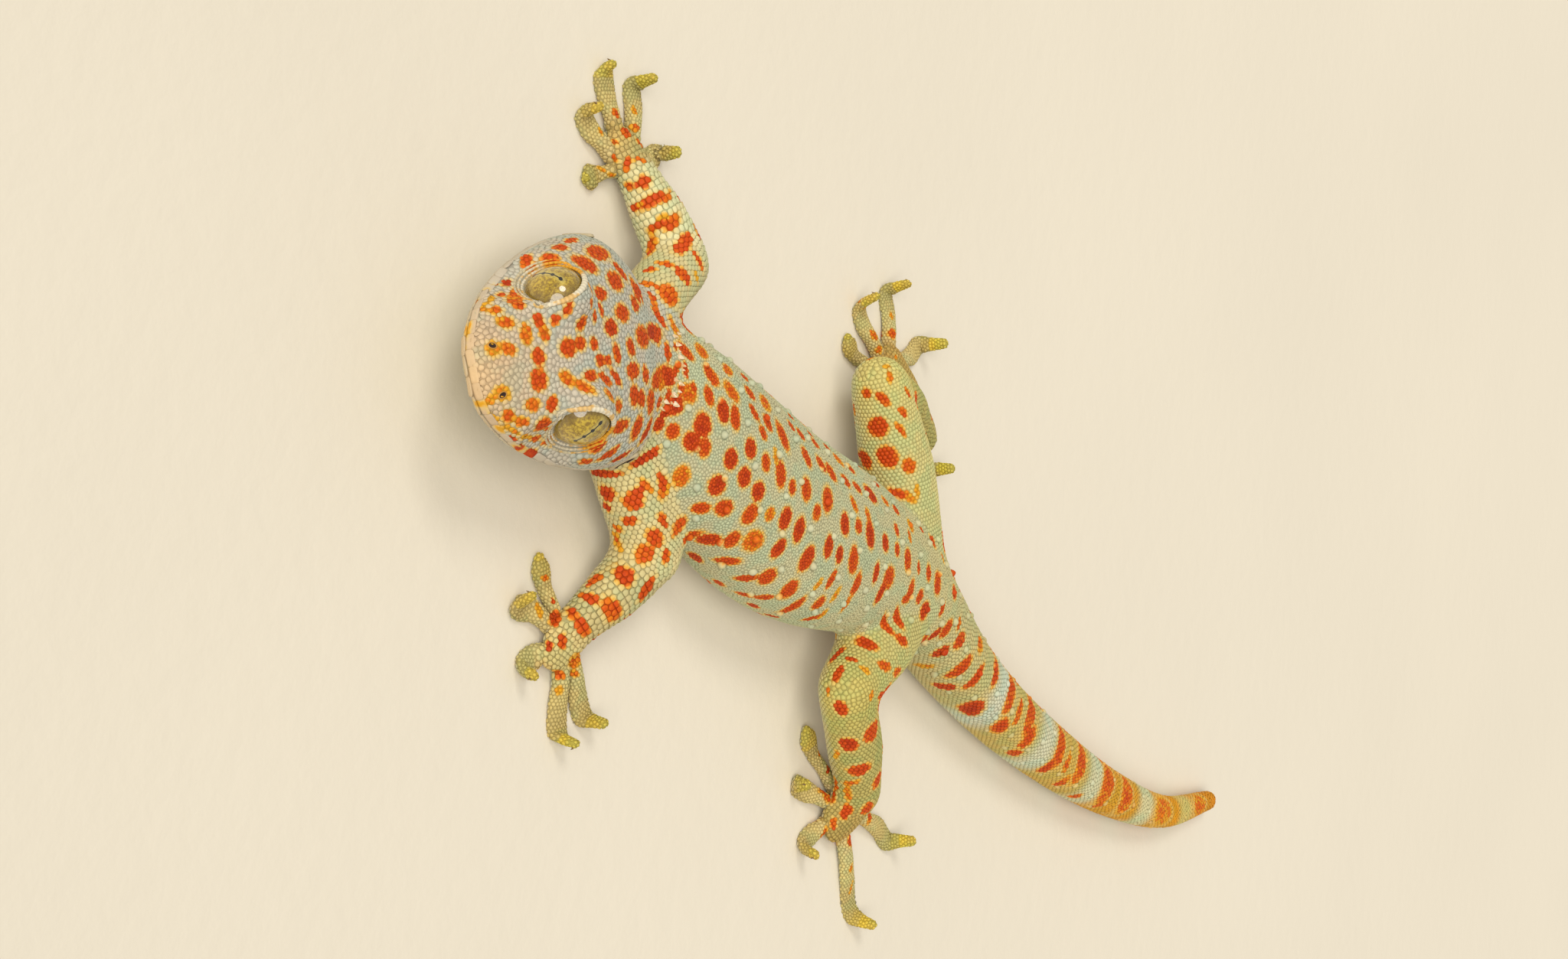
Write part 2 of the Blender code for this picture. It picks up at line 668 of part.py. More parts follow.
def make_head(parts, helpers):
    """Head with brows, lids, eyes, nostrils and ears, and the lower jaw below the mouth line."""
    head = loft("head", head_rings(), parts)
    whole = grown(head, GAP, helpers)
    sockets = []
    brows = []
    rims = []
    for side, word in ((1, "left"), (-1, "right")):
        basis = facing_basis(side)
        ball = eyeball_middle(side)
        matrix = world_matrix_in_head((-ball.x, ball.y, ball.z), basis)
        primitive("ball", "eye_" + word, matrix, parts, u_segments=14, v_segments=9, radius=EYE_BALL)
        socket = primitive(
            "ball", "socket_" + word, matrix, helpers, u_segments=14, v_segments=8, radius=EYE_BALL + GAP
        )
        sockets.append(socket)
        opening = ball + (EYE_BALL + 1.0) * eye_outward(side)
        window = primitive(
            "cone",
            "window_" + word,
            world_matrix_in_head((-opening.x, opening.y, opening.z), basis),
            helpers,
            segments=16,
            radius1=EYE_OPENING,
            radius2=EYE_OPENING + 1.0,
            depth=EYE_BALL,
        )
        sockets.append(window)
        brow = primitive(
            "ball", "brow_" + word, matrix, helpers, u_segments=14, v_segments=8, radius=EYE_BALL + EYE_SKIN
        )
        brows.append(brow)
        rim = Vector((-EYE_BACK, side * EYE_OUT, EYE_UP))
        rims.append(lid_ring("rim_" + word, rim, basis, helpers))
    fuse(head, brows + rims, helpers)
    for side, word in ((1, "left"), (-1, "right")):
        back, out, up = NOSTRIL
        sockets.append(
            primitive(
                "ball",
                "nostril_" + word,
                world_matrix_in_head((back, side * out, up), Matrix.Identity(4)),
                helpers,
                u_segments=8,
                v_segments=6,
                radius=NOSTRIL_SIZE,
            )
        )
        back, out, up = EAR
        size = Matrix.Diagonal((*EAR_SIZE, 1.0))
        sockets.append(
            primitive(
                "ball",
                "ear_" + word,
                world_matrix_in_head((back, side * out, up), size),
                helpers,
                u_segments=10,
                v_segments=6,
                radius=1.0,
            )
        )
    for socket in sockets:
        socket.hide_render = True
        socket.display_type = "WIRE"
    cut(head, sockets)
    plates = [
        front_plate("snout_plate", *SNOUT_PLATE, helpers),
        front_plate("chin_plate", *CHIN_PLATE, helpers),
    ]
    for side in (1, -1):
        plates += lip_plates(side, *UPPER_PLATES, helpers)
        plates += lip_plates(side, *LOWER_PLATES, helpers)
    fuse(head, plates, helpers)
    subtract(head, [mouth_sheet(helpers)])
    split_jaw(head, parts)
    return whole


def lid_ring(name, place, basis, collection):
    """An oval ring of skin round the eye's opening."""
    turns = 16
    round_points = 5
    turn = np.arange(turns) * 2 * np.pi / turns
    small = np.arange(round_points) * 2 * np.pi / round_points
    points = []
    for angle in turn:
        out = Vector((math.cos(angle), math.sin(angle), 0.0))
        rim = (EYE_OPENING + 0.5 * LID_THICK) * out
        for around in small:
            offset = LID_THICK * (math.cos(around) * out + math.sin(around) * Vector((0.0, 0.0, 1.0)))
            points.append(rim + offset)
    matrix = world_matrix_in_head((-place.x, place.y, place.z), basis)
    points = [tuple(matrix @ point) for point in points]
    faces = []
    for i in range(turns):
        for j in range(round_points):
            a = i * round_points + j
            b = i * round_points + (j + 1) % round_points
            c = ((i + 1) % turns) * round_points + (j + 1) % round_points
            d = ((i + 1) % turns) * round_points + j
            faces.append((a, d, c, b))
    mesh = bpy.data.meshes.new(name)
    mesh.from_pydata(points, [], faces)
    soft = bmesh.new()
    soft.from_mesh(mesh)
    bmesh.ops.triangulate(soft, faces=soft.faces)
    bmesh.ops.recalc_face_normals(soft, faces=soft.faces)
    soft.to_mesh(mesh)
    soft.free()
    return add_object(name, mesh, collection)


def make_foot(name, parts, helpers):
    """A palm or sole with its five digits."""
    foot = rounded_tube(name, PALMS[name], 5, 14, 2.2, parts, (45,))
    digits = []
    for word, (root, pad, pad_end, tip) in DIGITS[name].items():
        rows = [
            (*root, 1.5, *DIGIT_ROOT),
            (*pad, DIGIT_PAD[1], *DIGIT_PAD),
            (*pad_end, DIGIT_PAD_END[1], *DIGIT_PAD_END),
            (*tip, *DIGIT_TIP),
        ]
        digit = rounded_tube(name + "_" + word, rows, DIGIT_RINGS, DIGIT_SIDES, 2.2, helpers, (50,))
        digits.append(digit)
    fuse(foot, digits, helpers)
    return foot


def spine_tubercles(name, rows, at, helpers):
    """Tubercles on a length of the spine: one for each row at each distance, every other ring shifted half a row."""
    table, _, left, up = spine_frames(np.array(at))
    radius, height, depth = TUBERCLE
    bumps = []
    for i, (_, _, _, width, above, below) in enumerate(table):
        shift = 0.5 * (rows[1] - rows[0]) * (i % 2)
        size = min(1.0, 0.45 + 0.55 * width / 8.0)
        for row in rows:
            turn = math.pi * (row + shift)
            if turn > math.pi:
                continue
            c = math.cos(turn)
            s = math.sin(turn)
            across = width * math.copysign(abs(c) ** (2 / SPINE_POWER), c)
            rise = above * s ** (2 / SPINE_POWER)
            normal = Vector(left[i] * (across / width**2) + up[i] * (rise / above**2)).normalized()
            place = Vector(table[i, :3] + across * left[i] + rise * up[i])
            place += normal * size * 0.5 * (height - depth)
            stand = normal.to_track_quat("Z", "Y").to_matrix().to_4x4()
            place = (place - Vector(BOX_MIDDLE)) * MM
            matrix = Matrix.Translation(place) @ stand @ Matrix.Scale(MM * size, 4)
            bumps.append(
                primitive(
                    "cone",
                    "tubercle_%s_%d_%.2f" % (name, i, row),
                    matrix,
                    helpers,
                    segments=TUBERCLE_SIDES,
                    radius1=radius * (height + depth) / height,
                    radius2=0.0,
                    depth=height + depth,
                )
            )
    return bumps


def raise_tubercles(spine, helpers):
    """Rows of tubercles on the trunk, a fringe on the nape and whorls round the tail."""
    fuse(spine["neck"], spine_tubercles("neck", NAPE_ROWS, NAPE_AT, helpers), helpers)
    trunk = np.arange(TRUNK_FROM, TRUNK_TO, TRUNK_SPACING) + spine_distances()["neck"]
    fuse(spine["torso"], spine_tubercles("torso", TRUNK_ROWS, trunk, helpers), helpers)
    distances = spine_distances()
    whorls = np.arange(TAIL_FROM, TAIL_TO, TAIL_SPACING)
    for name, first, last, _, _ in SPINE_NODES[2:]:
        inside = whorls[(whorls > distances[first] + 2.5) & (whorls < distances[last] - 2.5)]
        fuse(spine[name], spine_tubercles(name, TAIL_ROWS, inside, helpers), helpers)


def make_limbs(spine, head, parts, helpers):
    """Both fore limbs and both hind limbs, each piece cut clear of what it grows from."""
    grown_head = head
    grown_neck = grown(spine["neck"], GAP, helpers)
    grown_torso = grown(spine["torso"], GAP, helpers)
    grown_tail = grown(spine["tail_base"], GAP, helpers)
    for side in ("left", "right"):
        limbs = LIMBS[side]
        for upper, lower, end, bodies in (
            ("upper_arm", "forearm", "hand", (grown_torso, grown_neck, grown_head)),
            ("thigh", "shin", "foot", (grown_torso, grown_tail)),
        ):
            first = rounded_tube(upper + "_" + side, limbs[upper], 6, 14, 2.1, parts, (35, 68))
            cut(first, bodies)
            grown_first = grown(first, GAP, helpers)
            second = rounded_tube(lower + "_" + side, limbs[lower], 6, 12, 2.1, parts, (35, 68))
            cut(second, (grown_first,))
            grown_second = grown(second, GAP, helpers)
            third = make_foot(end + "_" + side, parts, helpers)
            cut(third, (grown_second,))


def finish(parts):
    """Materials and smooth shading."""
    for obj in list(parts.objects):
        kind = obj.name
        for ending in ("_left", "_right", "_base", "_middle", "_end"):
            kind = kind.removesuffix(ending)
        roughness = EYE_ROUGHNESS if kind == "eye" else SKIN_ROUGHNESS
        obj.data.materials.clear()
        obj.data.materials.append(make_material(obj.name, COLOURS[kind], roughness))
        obj.data.shade_smooth()
        obj.data.set_sharp_from_angle(angle=math.radians(40))


def main():
    clear_scene()
    scene = bpy.context.scene
    parts = bpy.data.collections.new("tokay_gecko")
    helpers = bpy.data.collections.new("helpers")
    scene.collection.children.link(parts)
    scene.collection.children.link(helpers)
    spine = make_spine(parts)
    whole = make_head(parts, helpers)
    raise_tubercles(spine, helpers)
    cut(spine["neck"], (whole,))
    cut(spine["torso"], (whole,))
    make_limbs(spine, whole, parts, helpers)
    finish(parts)
    for helper in list(helpers.objects):
        bpy.data.objects.remove(helper, do_unlink=True)


if __name__ == "__main__":
    main()
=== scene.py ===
"""Tokay gecko, the looks of the still life-size model: skin, scales, eyes, lids, lips, claws and the stage.

The frame is the part's own. The trunk runs along +Y towards the tail, +X is the animal's left and the floor is
Z = 0. Tables of shape are in millimetres from the front of the shoulders and become metres when a mesh is made.
"""

import math

import bpy
import numpy as np
from bpy.props import FloatProperty, FloatVectorProperty, IntProperty, PointerProperty
from mathutils import Matrix, Vector
from mathutils.bvhtree import BVHTree
from mathutils.kdtree import KDTree


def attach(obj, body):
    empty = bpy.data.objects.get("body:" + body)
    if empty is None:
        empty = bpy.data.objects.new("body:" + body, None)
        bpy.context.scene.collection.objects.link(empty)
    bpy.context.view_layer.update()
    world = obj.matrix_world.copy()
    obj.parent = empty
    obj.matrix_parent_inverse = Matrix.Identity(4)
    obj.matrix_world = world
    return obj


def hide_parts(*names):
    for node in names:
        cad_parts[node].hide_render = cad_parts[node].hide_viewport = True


bl_info = {
    "name": "Tokay gecko",
    "version": (1, 0, 0),
    "blender": (4, 5, 0),
    "location": "3D View > Sidebar > Gecko",
    "description": "Builds the skin, scales, eyes and stage of a life-size tokay gecko model",
    "category": "Add Mesh",
}

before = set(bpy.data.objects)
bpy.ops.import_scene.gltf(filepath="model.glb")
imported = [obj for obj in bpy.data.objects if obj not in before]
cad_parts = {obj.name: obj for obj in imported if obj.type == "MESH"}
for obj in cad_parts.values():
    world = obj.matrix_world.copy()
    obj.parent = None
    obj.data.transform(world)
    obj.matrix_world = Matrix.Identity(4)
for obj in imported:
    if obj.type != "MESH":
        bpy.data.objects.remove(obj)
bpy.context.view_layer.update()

MM = 0.001
BOX_MIDDLE = np.array([10.37, 99.71, 0.0])

# Trunk and tail: x, y, height of the axis, half width, reach above the axis, reach below it.
SPINE = (
    (0.5, -6.0, 9.0, 10.5, 6.5, 8.0),
    (3.0, 3.0, 9.8, 11.4, 7.4, 9.4),
    (5.6, 12.0, 10.2, 13.2, 8.9, 10.3),
    (8.2, 24.0, 10.3, 14.4, 9.6, 10.6),
    (10.6, 42.0, 10.2, 15.0, 9.7, 10.6),
    (9.8, 60.0, 10.0, 13.8, 9.2, 10.4),
    (8.9, 72.0, 9.7, 11.6, 8.6, 10.0),
    (9.4, 83.0, 9.2, 9.8, 8.0, 9.5),
    (12.2, 95.0, 8.2, 7.7, 7.0, 8.4),
    (15.4, 106.0, 7.4, 6.9, 6.3, 7.6),
    (19.3, 124.0, 6.6, 6.3, 5.7, 6.8),
    (22.5, 150.5, 5.8, 5.7, 5.1, 6.0),
    (23.6, 182.0, 4.7, 4.7, 4.2, 4.9),
    (21.0, 212.0, 3.5, 3.5, 3.1, 3.6),
    (13.2, 237.0, 2.2, 2.2, 1.9, 2.3),
)
SPINE_POWER = 2.25
RUMP_AT = 101.0

# Head, in its own frame: distance behind the snout, half width, height of the widest level, top, bottom.
HEAD_STATIONS = (
    (0.0, 2.6, 6.6, 7.6, 5.7),
    (0.8, 4.5, 6.6, 8.4, 5.0),
    (2.5, 6.6, 6.6, 9.3, 4.3),
    (5.2, 8.7, 6.6, 10.5, 3.4),
    (9.2, 10.9, 6.6, 12.0, 2.1),
    (13.7, 12.8, 6.7, 13.5, 1.0),
    (18.4, 14.3, 6.9, 14.7, 0.2),
    (23.3, 15.6, 7.1, 15.4, -0.4),
    (28.3, 16.4, 7.3, 15.6, -0.5),
    (32.3, 16.2, 7.4, 15.4, -0.3),
    (36.3, 14.8, 7.5, 14.7, 0.3),
    (39.8, 12.5, 7.6, 13.6, 1.3),
    (42.5, 8.6, 7.7, 12.0, 3.1),
    (43.9, 3.8, 7.8, 9.9, 5.5),
)
HEAD_POWER = 2.4
SNOUT = (18.8, -38.6, 9.5)
HEAD_TURN = math.radians(27.5)
HEAD_LIFT = math.radians(11.5)
HEAD_ROLL = math.radians(7.0)

EYE_BACK = 15.1
EYE_OUT = 9.8
EYE_UP = 12.3
EYE_BALL = 4.6
EYE_OPENING = 3.95
EYE_DEPTH = 2.6
EYE_BEHIND = 2.8
EYE_CLEARING = 0.45
EYE_FACING = Vector((0.50, 0.82, 0.27)).normalized()
BROW_RISE = 1.3
BROW_SPREAD = 6.5

MOUTH = (
    (-3.0, 6.1),
    (2.0, 6.0),
    (7.5, 5.5),
    (13.7, 5.4),
    (20.4, 5.7),
    (25.8, 6.7),
)
NOSTRIL = (2.2, 3.2, 8.8)
EAR = (31.9, 16.0, 8.7)

# Limbs: stations of x, y, height of the axis, half width, half height.
LIMBS = {
    "upper_arm_left": ((10.5, -0.5, 9.6, 6.2, 5.6), (17.5, 6.8, 9.2, 5.7, 5.4), (24.8, 15.2, 7.8, 5.1, 4.9)),
    "forearm_left": ((25.0, 15.0, 7.6, 4.8, 4.6), (31.5, 11.4, 5.8, 4.6, 4.2), (37.2, 7.9, 3.7, 3.7, 3.1)),
    "thigh_left": ((12.5, 82.0, 9.4, 6.8, 6.6), (22.0, 75.0, 10.8, 6.6, 6.2), (31.0, 67.5, 11.6, 5.2, 5.0)),
    "shin_left": ((31.6, 68.0, 11.4, 5.1, 4.8), (38.4, 78.8, 8.0, 5.1, 4.6), (44.6, 88.2, 4.6, 4.4, 3.8)),
    "upper_arm_right": ((-1.0, -2.5, 9.4, 4.9, 5.2), (-10.0, 2.0, 8.8, 4.9, 5.0), (-18.2, 8.2, 7.7, 4.9, 4.7)),
    "forearm_right": ((-18.8, 8.2, 7.5, 4.6, 4.5), (-24.0, 3.2, 5.8, 4.5, 4.2), (-28.8, -0.8, 3.7, 3.6, 3.1)),
    "thigh_right": ((3.5, 82.0, 9.4, 6.8, 6.6), (-9.0, 73.5, 9.8, 6.6, 6.2), (-20.5, 64.0, 9.6, 5.3, 5.1)),
    "shin_right": ((-20.8, 64.0, 9.4, 4.8, 4.7), (-21.2, 76.0, 7.0, 4.5, 4.3), (-20.0, 87.4, 4.2, 3.7, 3.4)),
}

# Palms and soles: stations as for a limb, from the wrist or ankle outwards.
PALMS = {
    "hand_left": ((36.6, 8.2, 3.4, 3.3, 2.8), (40.4, 6.4, 2.5, 4.4, 2.3), (43.6, 5.8, 1.8, 3.6, 1.7)),
    "hand_right": ((-28.0, 0.0, 3.4, 3.3, 2.8), (-31.2, -2.6, 2.5, 4.4, 2.3), (-33.6, -4.8, 1.8, 3.6, 1.7)),
    "foot_left": ((43.6, 88.6, 4.0, 3.6, 3.4), (47.4, 87.4, 2.8, 5.4, 2.6), (51.0, 86.2, 1.9, 4.6, 1.8)),
    "foot_right": ((-19.6, 88.8, 4.0, 3.5, 3.4), (-25.4, 83.0, 3.0, 3.9, 2.8), (-30.0, 76.8, 2.0, 4.6, 1.9)),
}

# Digits: root, middle of the pad, end of the pad, and the raised tip with its height.
DIGITS = {
    "hand_left": (
        ((38.0, 4.8), (34.4, 2.0), (31.0, -0.4), (29.9, -1.1, 0.9)),
        ((39.2, 3.6), (38.0, 0.0), (38.4, -3.0), (36.8, -4.7, 4.0)),
        ((42.0, 5.2), (43.8, 3.2), (46.2, 1.0), (47.8, 0.2, 3.4)),
        ((43.6, 8.0), (49.4, 10.2), (53.4, 12.0), (54.8, 12.2, 3.6)),
        ((42.6, 10.2), (46.8, 14.0), (49.6, 17.0), (50.4, 17.8, 3.8)),
    ),
    "hand_right": (
        ((-28.6, -3.8), (-26.6, -6.6), (-25.1, -8.6), (-24.7, -9.4, 0.9)),
        ((-30.4, -6.0), (-32.0, -9.8), (-33.9, -12.2), (-34.5, -13.2, 3.8)),
        ((-33.4, -5.2), (-38.0, -7.8), (-41.8, -9.8), (-42.9, -10.7, 2.2)),
        ((-33.8, -1.4), (-39.8, -1.8), (-43.1, -2.9), (-44.4, -2.9, 4.2)),
        ((-31.4, 1.6), (-34.0, 4.4), (-35.6, 5.4), (-36.0, 6.2, 4.6)),
    ),
    "foot_left": (
        ((44.0, 83.6), (40.6, 77.8), (37.4, 74.6), (36.6, 73.8, 0.9)),
        ((47.2, 82.8), (46.8, 78.0), (46.4, 74.4), (46.6, 72.4, 3.8)),
        ((50.4, 84.4), (53.2, 81.6), (55.7, 79.8), (57.4, 78.9, 3.8)),
        ((52.0, 90.4), (58.0, 95.0), (64.0, 99.7), (65.1, 101.3, 3.8)),
        ((47.0, 92.4), (47.8, 102.0), (49.3, 106.6), (48.4, 108.4, 4.6)),
    ),
    "foot_right": (
        ((-27.2, 73.4), (-27.4, 68.2), (-29.3, 65.2), (-30.1, 64.5, 0.9)),
        ((-30.4, 73.6), (-33.4, 69.2), (-36.1, 66.9), (-37.6, 65.0, 4.6)),
        ((-32.8, 76.8), (-38.4, 76.2), (-42.3, 74.4), (-44.0, 74.4, 4.6)),
        ((-31.2, 80.6), (-34.6, 85.8), (-37.4, 87.9), (-38.2, 89.4, 5.2)),
        ((-20.2, 89.4), (-18.4, 96.0), (-17.4, 98.8), (-18.2, 100.0, 4.6)),
    ),
}
DIGIT_ROOT = (1.15, 1.15)
DIGIT_PAD = (1.8, 0.75)
DIGIT_PAD_END = (1.65, 0.75)
DIGIT_BEND = (1.2, 0.7)
DIGIT_TIP = (0.85, 0.6)
FIRST_DIGIT = 0.68
TIP_SHORT = 0.6

# Camera: how far the photograph looks down, how the animal lies in it, its focal length in pixels, and the
# pixel at which it shows the front of the shoulders and the scale there.
LOOK_DOWN = math.radians(34.0)
LIES_TURNED = math.radians(19.0)
FOCAL = 3000.0
PHOTO_SIZE = (2048, 1253)
SHOULDER_PIXEL = (760.0, 470.0)
PIXELS_A_MM = 8.9

FLESH_NODES = ["head", "lower_jaw", "neck", "torso", "tail_base", "tail_middle", "tail_end"]
for limb in ("upper_arm", "forearm", "hand", "thigh", "shin", "foot"):
    FLESH_NODES += [limb + "_left", limb + "_right"]


# Curves and tubes


def flow(rows, count=None, at=None):
    """Rows carried smoothly along a path: cubic pieces through every row, timed by the distance between places."""
    rows = np.array(rows, float)
    steps = np.linalg.norm(np.diff(rows[:, :3], axis=0), axis=1)
    knots = np.concatenate([[0.0], np.cumsum(steps)])
    slopes = np.gradient(rows, knots, axis=0)
    if at is None:
        at = np.linspace(0.0, knots[-1], count)
    at = np.asarray(at, float)
    piece = np.clip(np.searchsorted(knots, at, side="right") - 1, 0, len(knots) - 2)
    span = (knots[piece + 1] - knots[piece])[:, None]
    u = (at - knots[piece])[:, None] / span
    start = (1 + 2 * u) * (1 - u) ** 2 * rows[piece] + u * (1 - u) ** 2 * span * slopes[piece]
    end = u**2 * (3 - 2 * u) * rows[piece + 1] + u**2 * (u - 1) * span * slopes[piece + 1]
    return start + end


def length_of(rows):
    """The length of the straight steps through the rows' places."""
    places = np.array(rows, float)[:, :3]
    return float(np.linalg.norm(np.diff(places, axis=0), axis=1).sum())


class Tube:
    """A form with an axis: rows of x, y, z, half width, reach above and reach below, and an oval section.

    A point lies at a distance along the axis and a turn round it, 0 on the left and a quarter turn on top:
    across = width * sign(cos) * |cos|^(2/power), and up = reach * sign(sin) * |sin|^(2/power).
    """

    def __init__(self, name, rows, power, level_frame=False, domes=True):
        self.name = name
        self.rows = [row if len(row) == 6 else (*row, row[4]) for row in rows]
        self.power = power
        self.level_frame = level_frame
        self.length = length_of(self.rows)
        self.domes = domes
        first = self.rows[0]
        last = self.rows[-1]
        self.start_dome = 0.5 * (first[3] + first[4]) if domes else 0.0
        self.end_dome = 0.5 * (last[3] + last[4])

    def at(self, along, turn):
        """Points at distances along the axis, which may run past its ends over the domes, and at turns."""
        along, turn = np.broadcast_arrays(np.asarray(along, float), np.asarray(turn, float))
        flat = along.ravel()
        inner = np.clip(flat, 0.0, self.length)
        table = flow(self.rows, at=inner)
        near = flow(self.rows, at=np.minimum(inner + 0.2, self.length))
        back = flow(self.rows, at=np.maximum(inner - 0.2, 0.0))
        ahead = (near - back)[:, :3]
        if self.level_frame:
            ahead[:, 2] = 0.0
        ahead /= np.linalg.norm(ahead, axis=1)[:, None]
        left = np.cross([0.0, 0.0, 1.0], ahead)
        left /= np.linalg.norm(left, axis=1)[:, None]
        up = np.cross(ahead, left)
        past = np.where(flat < 0.0, flat / max(self.start_dome, 1e-6), 0.0)
        past = np.where(flat > self.length, (flat - self.length) / self.end_dome, past)
        past = np.clip(past, -1.0, 1.0)
        slim = np.sqrt(np.maximum(0.0, 1 - past**2))
        reach = np.where(past < 0, self.start_dome, self.end_dome)
        places = table[:, :3] + ahead * (past * reach)[:, None]
        c = np.cos(turn.ravel())
        s = np.sin(turn.ravel())
        across = table[:, 3] * slim * np.sign(c) * np.abs(c) ** (2 / self.power)
        height = np.where(s > 0, table[:, 4], table[:, 5]) * slim
        rise = height * np.sign(s) * np.abs(s) ** (2 / self.power)
        points = places + across[:, None] * left + rise[:, None] * up
        return points.reshape(*along.shape, 3)

    def grid(self, step, sides):
        """Rings of the whole form, evenly spaced along its axis and closer over the domes."""
        inner = np.linspace(0.0, self.length, max(3, int(self.length / step) + 1))
        bend = np.sin(np.linspace(0.0, np.pi / 2, 7))[1:-1]
        start = -self.start_dome * bend[::-1] if self.domes else []
        along = np.concatenate([start, inner, self.length + self.end_dome * bend])
        turn = np.arange(sides) * 2 * np.pi / sides
        return self.at(along[:, None], turn[None, :])


def head_matrix():
    """From the head's own frame (ahead from the snout, left, up) to the body's, in millimetres."""
    turn = Matrix.Rotation(HEAD_TURN - math.pi / 2, 4, "Z")
    lift = Matrix.Rotation(-HEAD_LIFT, 4, "Y")
    roll = Matrix.Rotation(HEAD_ROLL, 4, "X")
    return np.array(Matrix.Translation(Vector(SNOUT)) @ turn @ lift @ roll)


HEAD = head_matrix()


def from_head(points):
    """Points of the head's frame in the body's frame, both in millimetres."""
    return np.asarray(points, float) @ HEAD[:3, :3].T + HEAD[:3, 3]


def to_head(points):
    """Points of the body's frame in the head's frame."""
    return (np.asarray(points, float) - HEAD[:3, 3]) @ HEAD[:3, :3]


def eye_outward(side):
    """The way an eye looks, in the head's frame; side is 1 on the left and -1 on the right."""
    return np.array([EYE_FACING.x, side * EYE_FACING.y, EYE_FACING.z])


def eyeball_middle(side):
    """The middle of an eyeball in the head's frame, set back behind its opening."""
    return np.array([-EYE_BACK, side * EYE_OUT, EYE_UP]) - EYE_BEHIND * eye_outward(side)


def in_opening(points, side, margin):
    """Where points of the body's frame lie in front of an eye: within its opening's radius of its axis, or within
    the lid's angle of it and near the ball."""
    offset = points - from_head(eyeball_middle(side))
    distance = np.linalg.norm(offset, axis=1)
    ahead = offset @ (HEAD[:3, :3] @ eye_outward(side))
    beside = np.sqrt(np.maximum(distance**2 - ahead**2, 0.0))
    reach = EYE_OPENING + margin
    close = (beside < reach / EYE_DEPTH * ahead) & (distance < EYE_BALL + 1.3)
    return (ahead > 0) & (distance < EYE_BALL + 4) & ((beside < reach) | close)


class Skull:
    """The head's form: like a tube, but along its own level axis, with swollen brows."""

    name = "head"
    length = HEAD_STATIONS[-1][0]

    def local(self, along, turn):
        """Points in the head's own frame at distances behind the snout and turns round it."""
        along, turn = np.broadcast_arrays(np.asarray(along, float), np.asarray(turn, float))
        rows = [(back, 0.0, 0.0, *sizes) for back, *sizes in HEAD_STATIONS]
        table = flow(rows, at=along.ravel())
        c = np.cos(turn.ravel())
        s = np.sin(turn.ravel())
        across = table[:, 3] * np.sign(c) * np.abs(c) ** (2 / HEAD_POWER)
        reach = np.where(s > 0, table[:, 5] - table[:, 4], table[:, 4] - table[:, 6])
        height = table[:, 4] + reach * np.sign(s) * np.abs(s) ** (2 / HEAD_POWER)
        points = np.stack([-along.ravel(), across, height], axis=1)
        for side in (1, -1):
            away = np.linalg.norm(points - eyeball_middle(side), axis=1)
            swell = BROW_RISE * np.exp(-((away / BROW_SPREAD) ** 2))
            points = points + swell[:, None] * eye_outward(side)
        return points.reshape(*along.shape, 3)

    def at(self, along, turn):
        return from_head(self.local(along, turn))

    def grid(self, step, sides):
        """Rings of the head, closer together at the snout."""
        share = np.linspace(0.0, 1.0, int(self.length / step) + 1)
        along = self.length * share**1.3
        turn = np.arange(sides) * 2 * np.pi / sides
        return self.at(along[:, None], turn[None, :])


# How much further a digit's skin reaches into the palm or sole than its root.
ROOT_REACH = 2.0


def digit_rows(digit):
    """A digit's stations: a slim root, a wide flat pad on the floor and a last joint that rises from it.

    The first digit, whose tip lies low, is slimmer.
    """
    root, pad, pad_end, tip = digit
    slim = FIRST_DIGIT if tip[2] < 1.0 else 1.0
    root = np.array([*root, 1.5])
    pad = np.array([*pad, DIGIT_PAD[1]])
    pad_end = np.array([*pad_end, DIGIT_PAD_END[1]])
    tip = np.array(tip)
    knuckle = 0.45 * root + 0.55 * pad
    knuckle[2] = 1.25
    tip[:2] -= TIP_SHORT * (tip - pad_end)[:2] / np.linalg.norm((tip - pad_end)[:2])
    bend = 0.5 * pad_end + 0.5 * tip
    bend[2] = max(0.75, 0.42 * tip[2] + 0.3)
    return [
        (*root, *DIGIT_ROOT),
        (*knuckle, 1.3 * slim, 1.05),
        (*pad, DIGIT_PAD[0] * slim, DIGIT_PAD[1]),
        (*pad_end, DIGIT_PAD_END[0] * slim, DIGIT_PAD_END[1]),
        (*bend, DIGIT_BEND[0] * slim, DIGIT_BEND[1]),
        (*tip, DIGIT_TIP[0] * slim, DIGIT_TIP[1]),
    ]


def thinner(rows, by):
    """The same rows with every half width and reach less by a depth."""
    return [(*row[:3], *(size - by for size in row[3:])) for row in rows]


def body_forms(inset):
    """Every form of the flesh, by name, drawn in by the depth of the scales."""
    forms = {"spine": Tube("spine", thinner(SPINE, inset), SPINE_POWER, level_frame=True)}
    forms["head"] = Skull()
    for name, rows in {**LIMBS, **PALMS}.items():
        forms[name] = Tube(name, thinner(rows, inset), 2.15)
    for name, digits in DIGITS.items():
        for number, digit in enumerate(digits):
            forms["%s_%d" % (name, number)] = Tube("%s_%d" % (name, number), digit_rows(digit), 2.3)
    return forms


# Meshes


def put_mesh(name, points, faces, smooth=True):
    """A mesh object at the origin from points in metres and faces given as arrays or tuples of corners."""
    mesh = bpy.data.meshes.new(name)
    mesh.from_pydata(np.asarray(points).tolist(), [], np.asarray(faces).tolist() if len(faces) else [])
    mesh.update()
    if smooth:
        mesh.shade_smooth()
    obj = bpy.data.objects.new(name, mesh)
    bpy.context.scene.collection.objects.link(obj)
    return obj


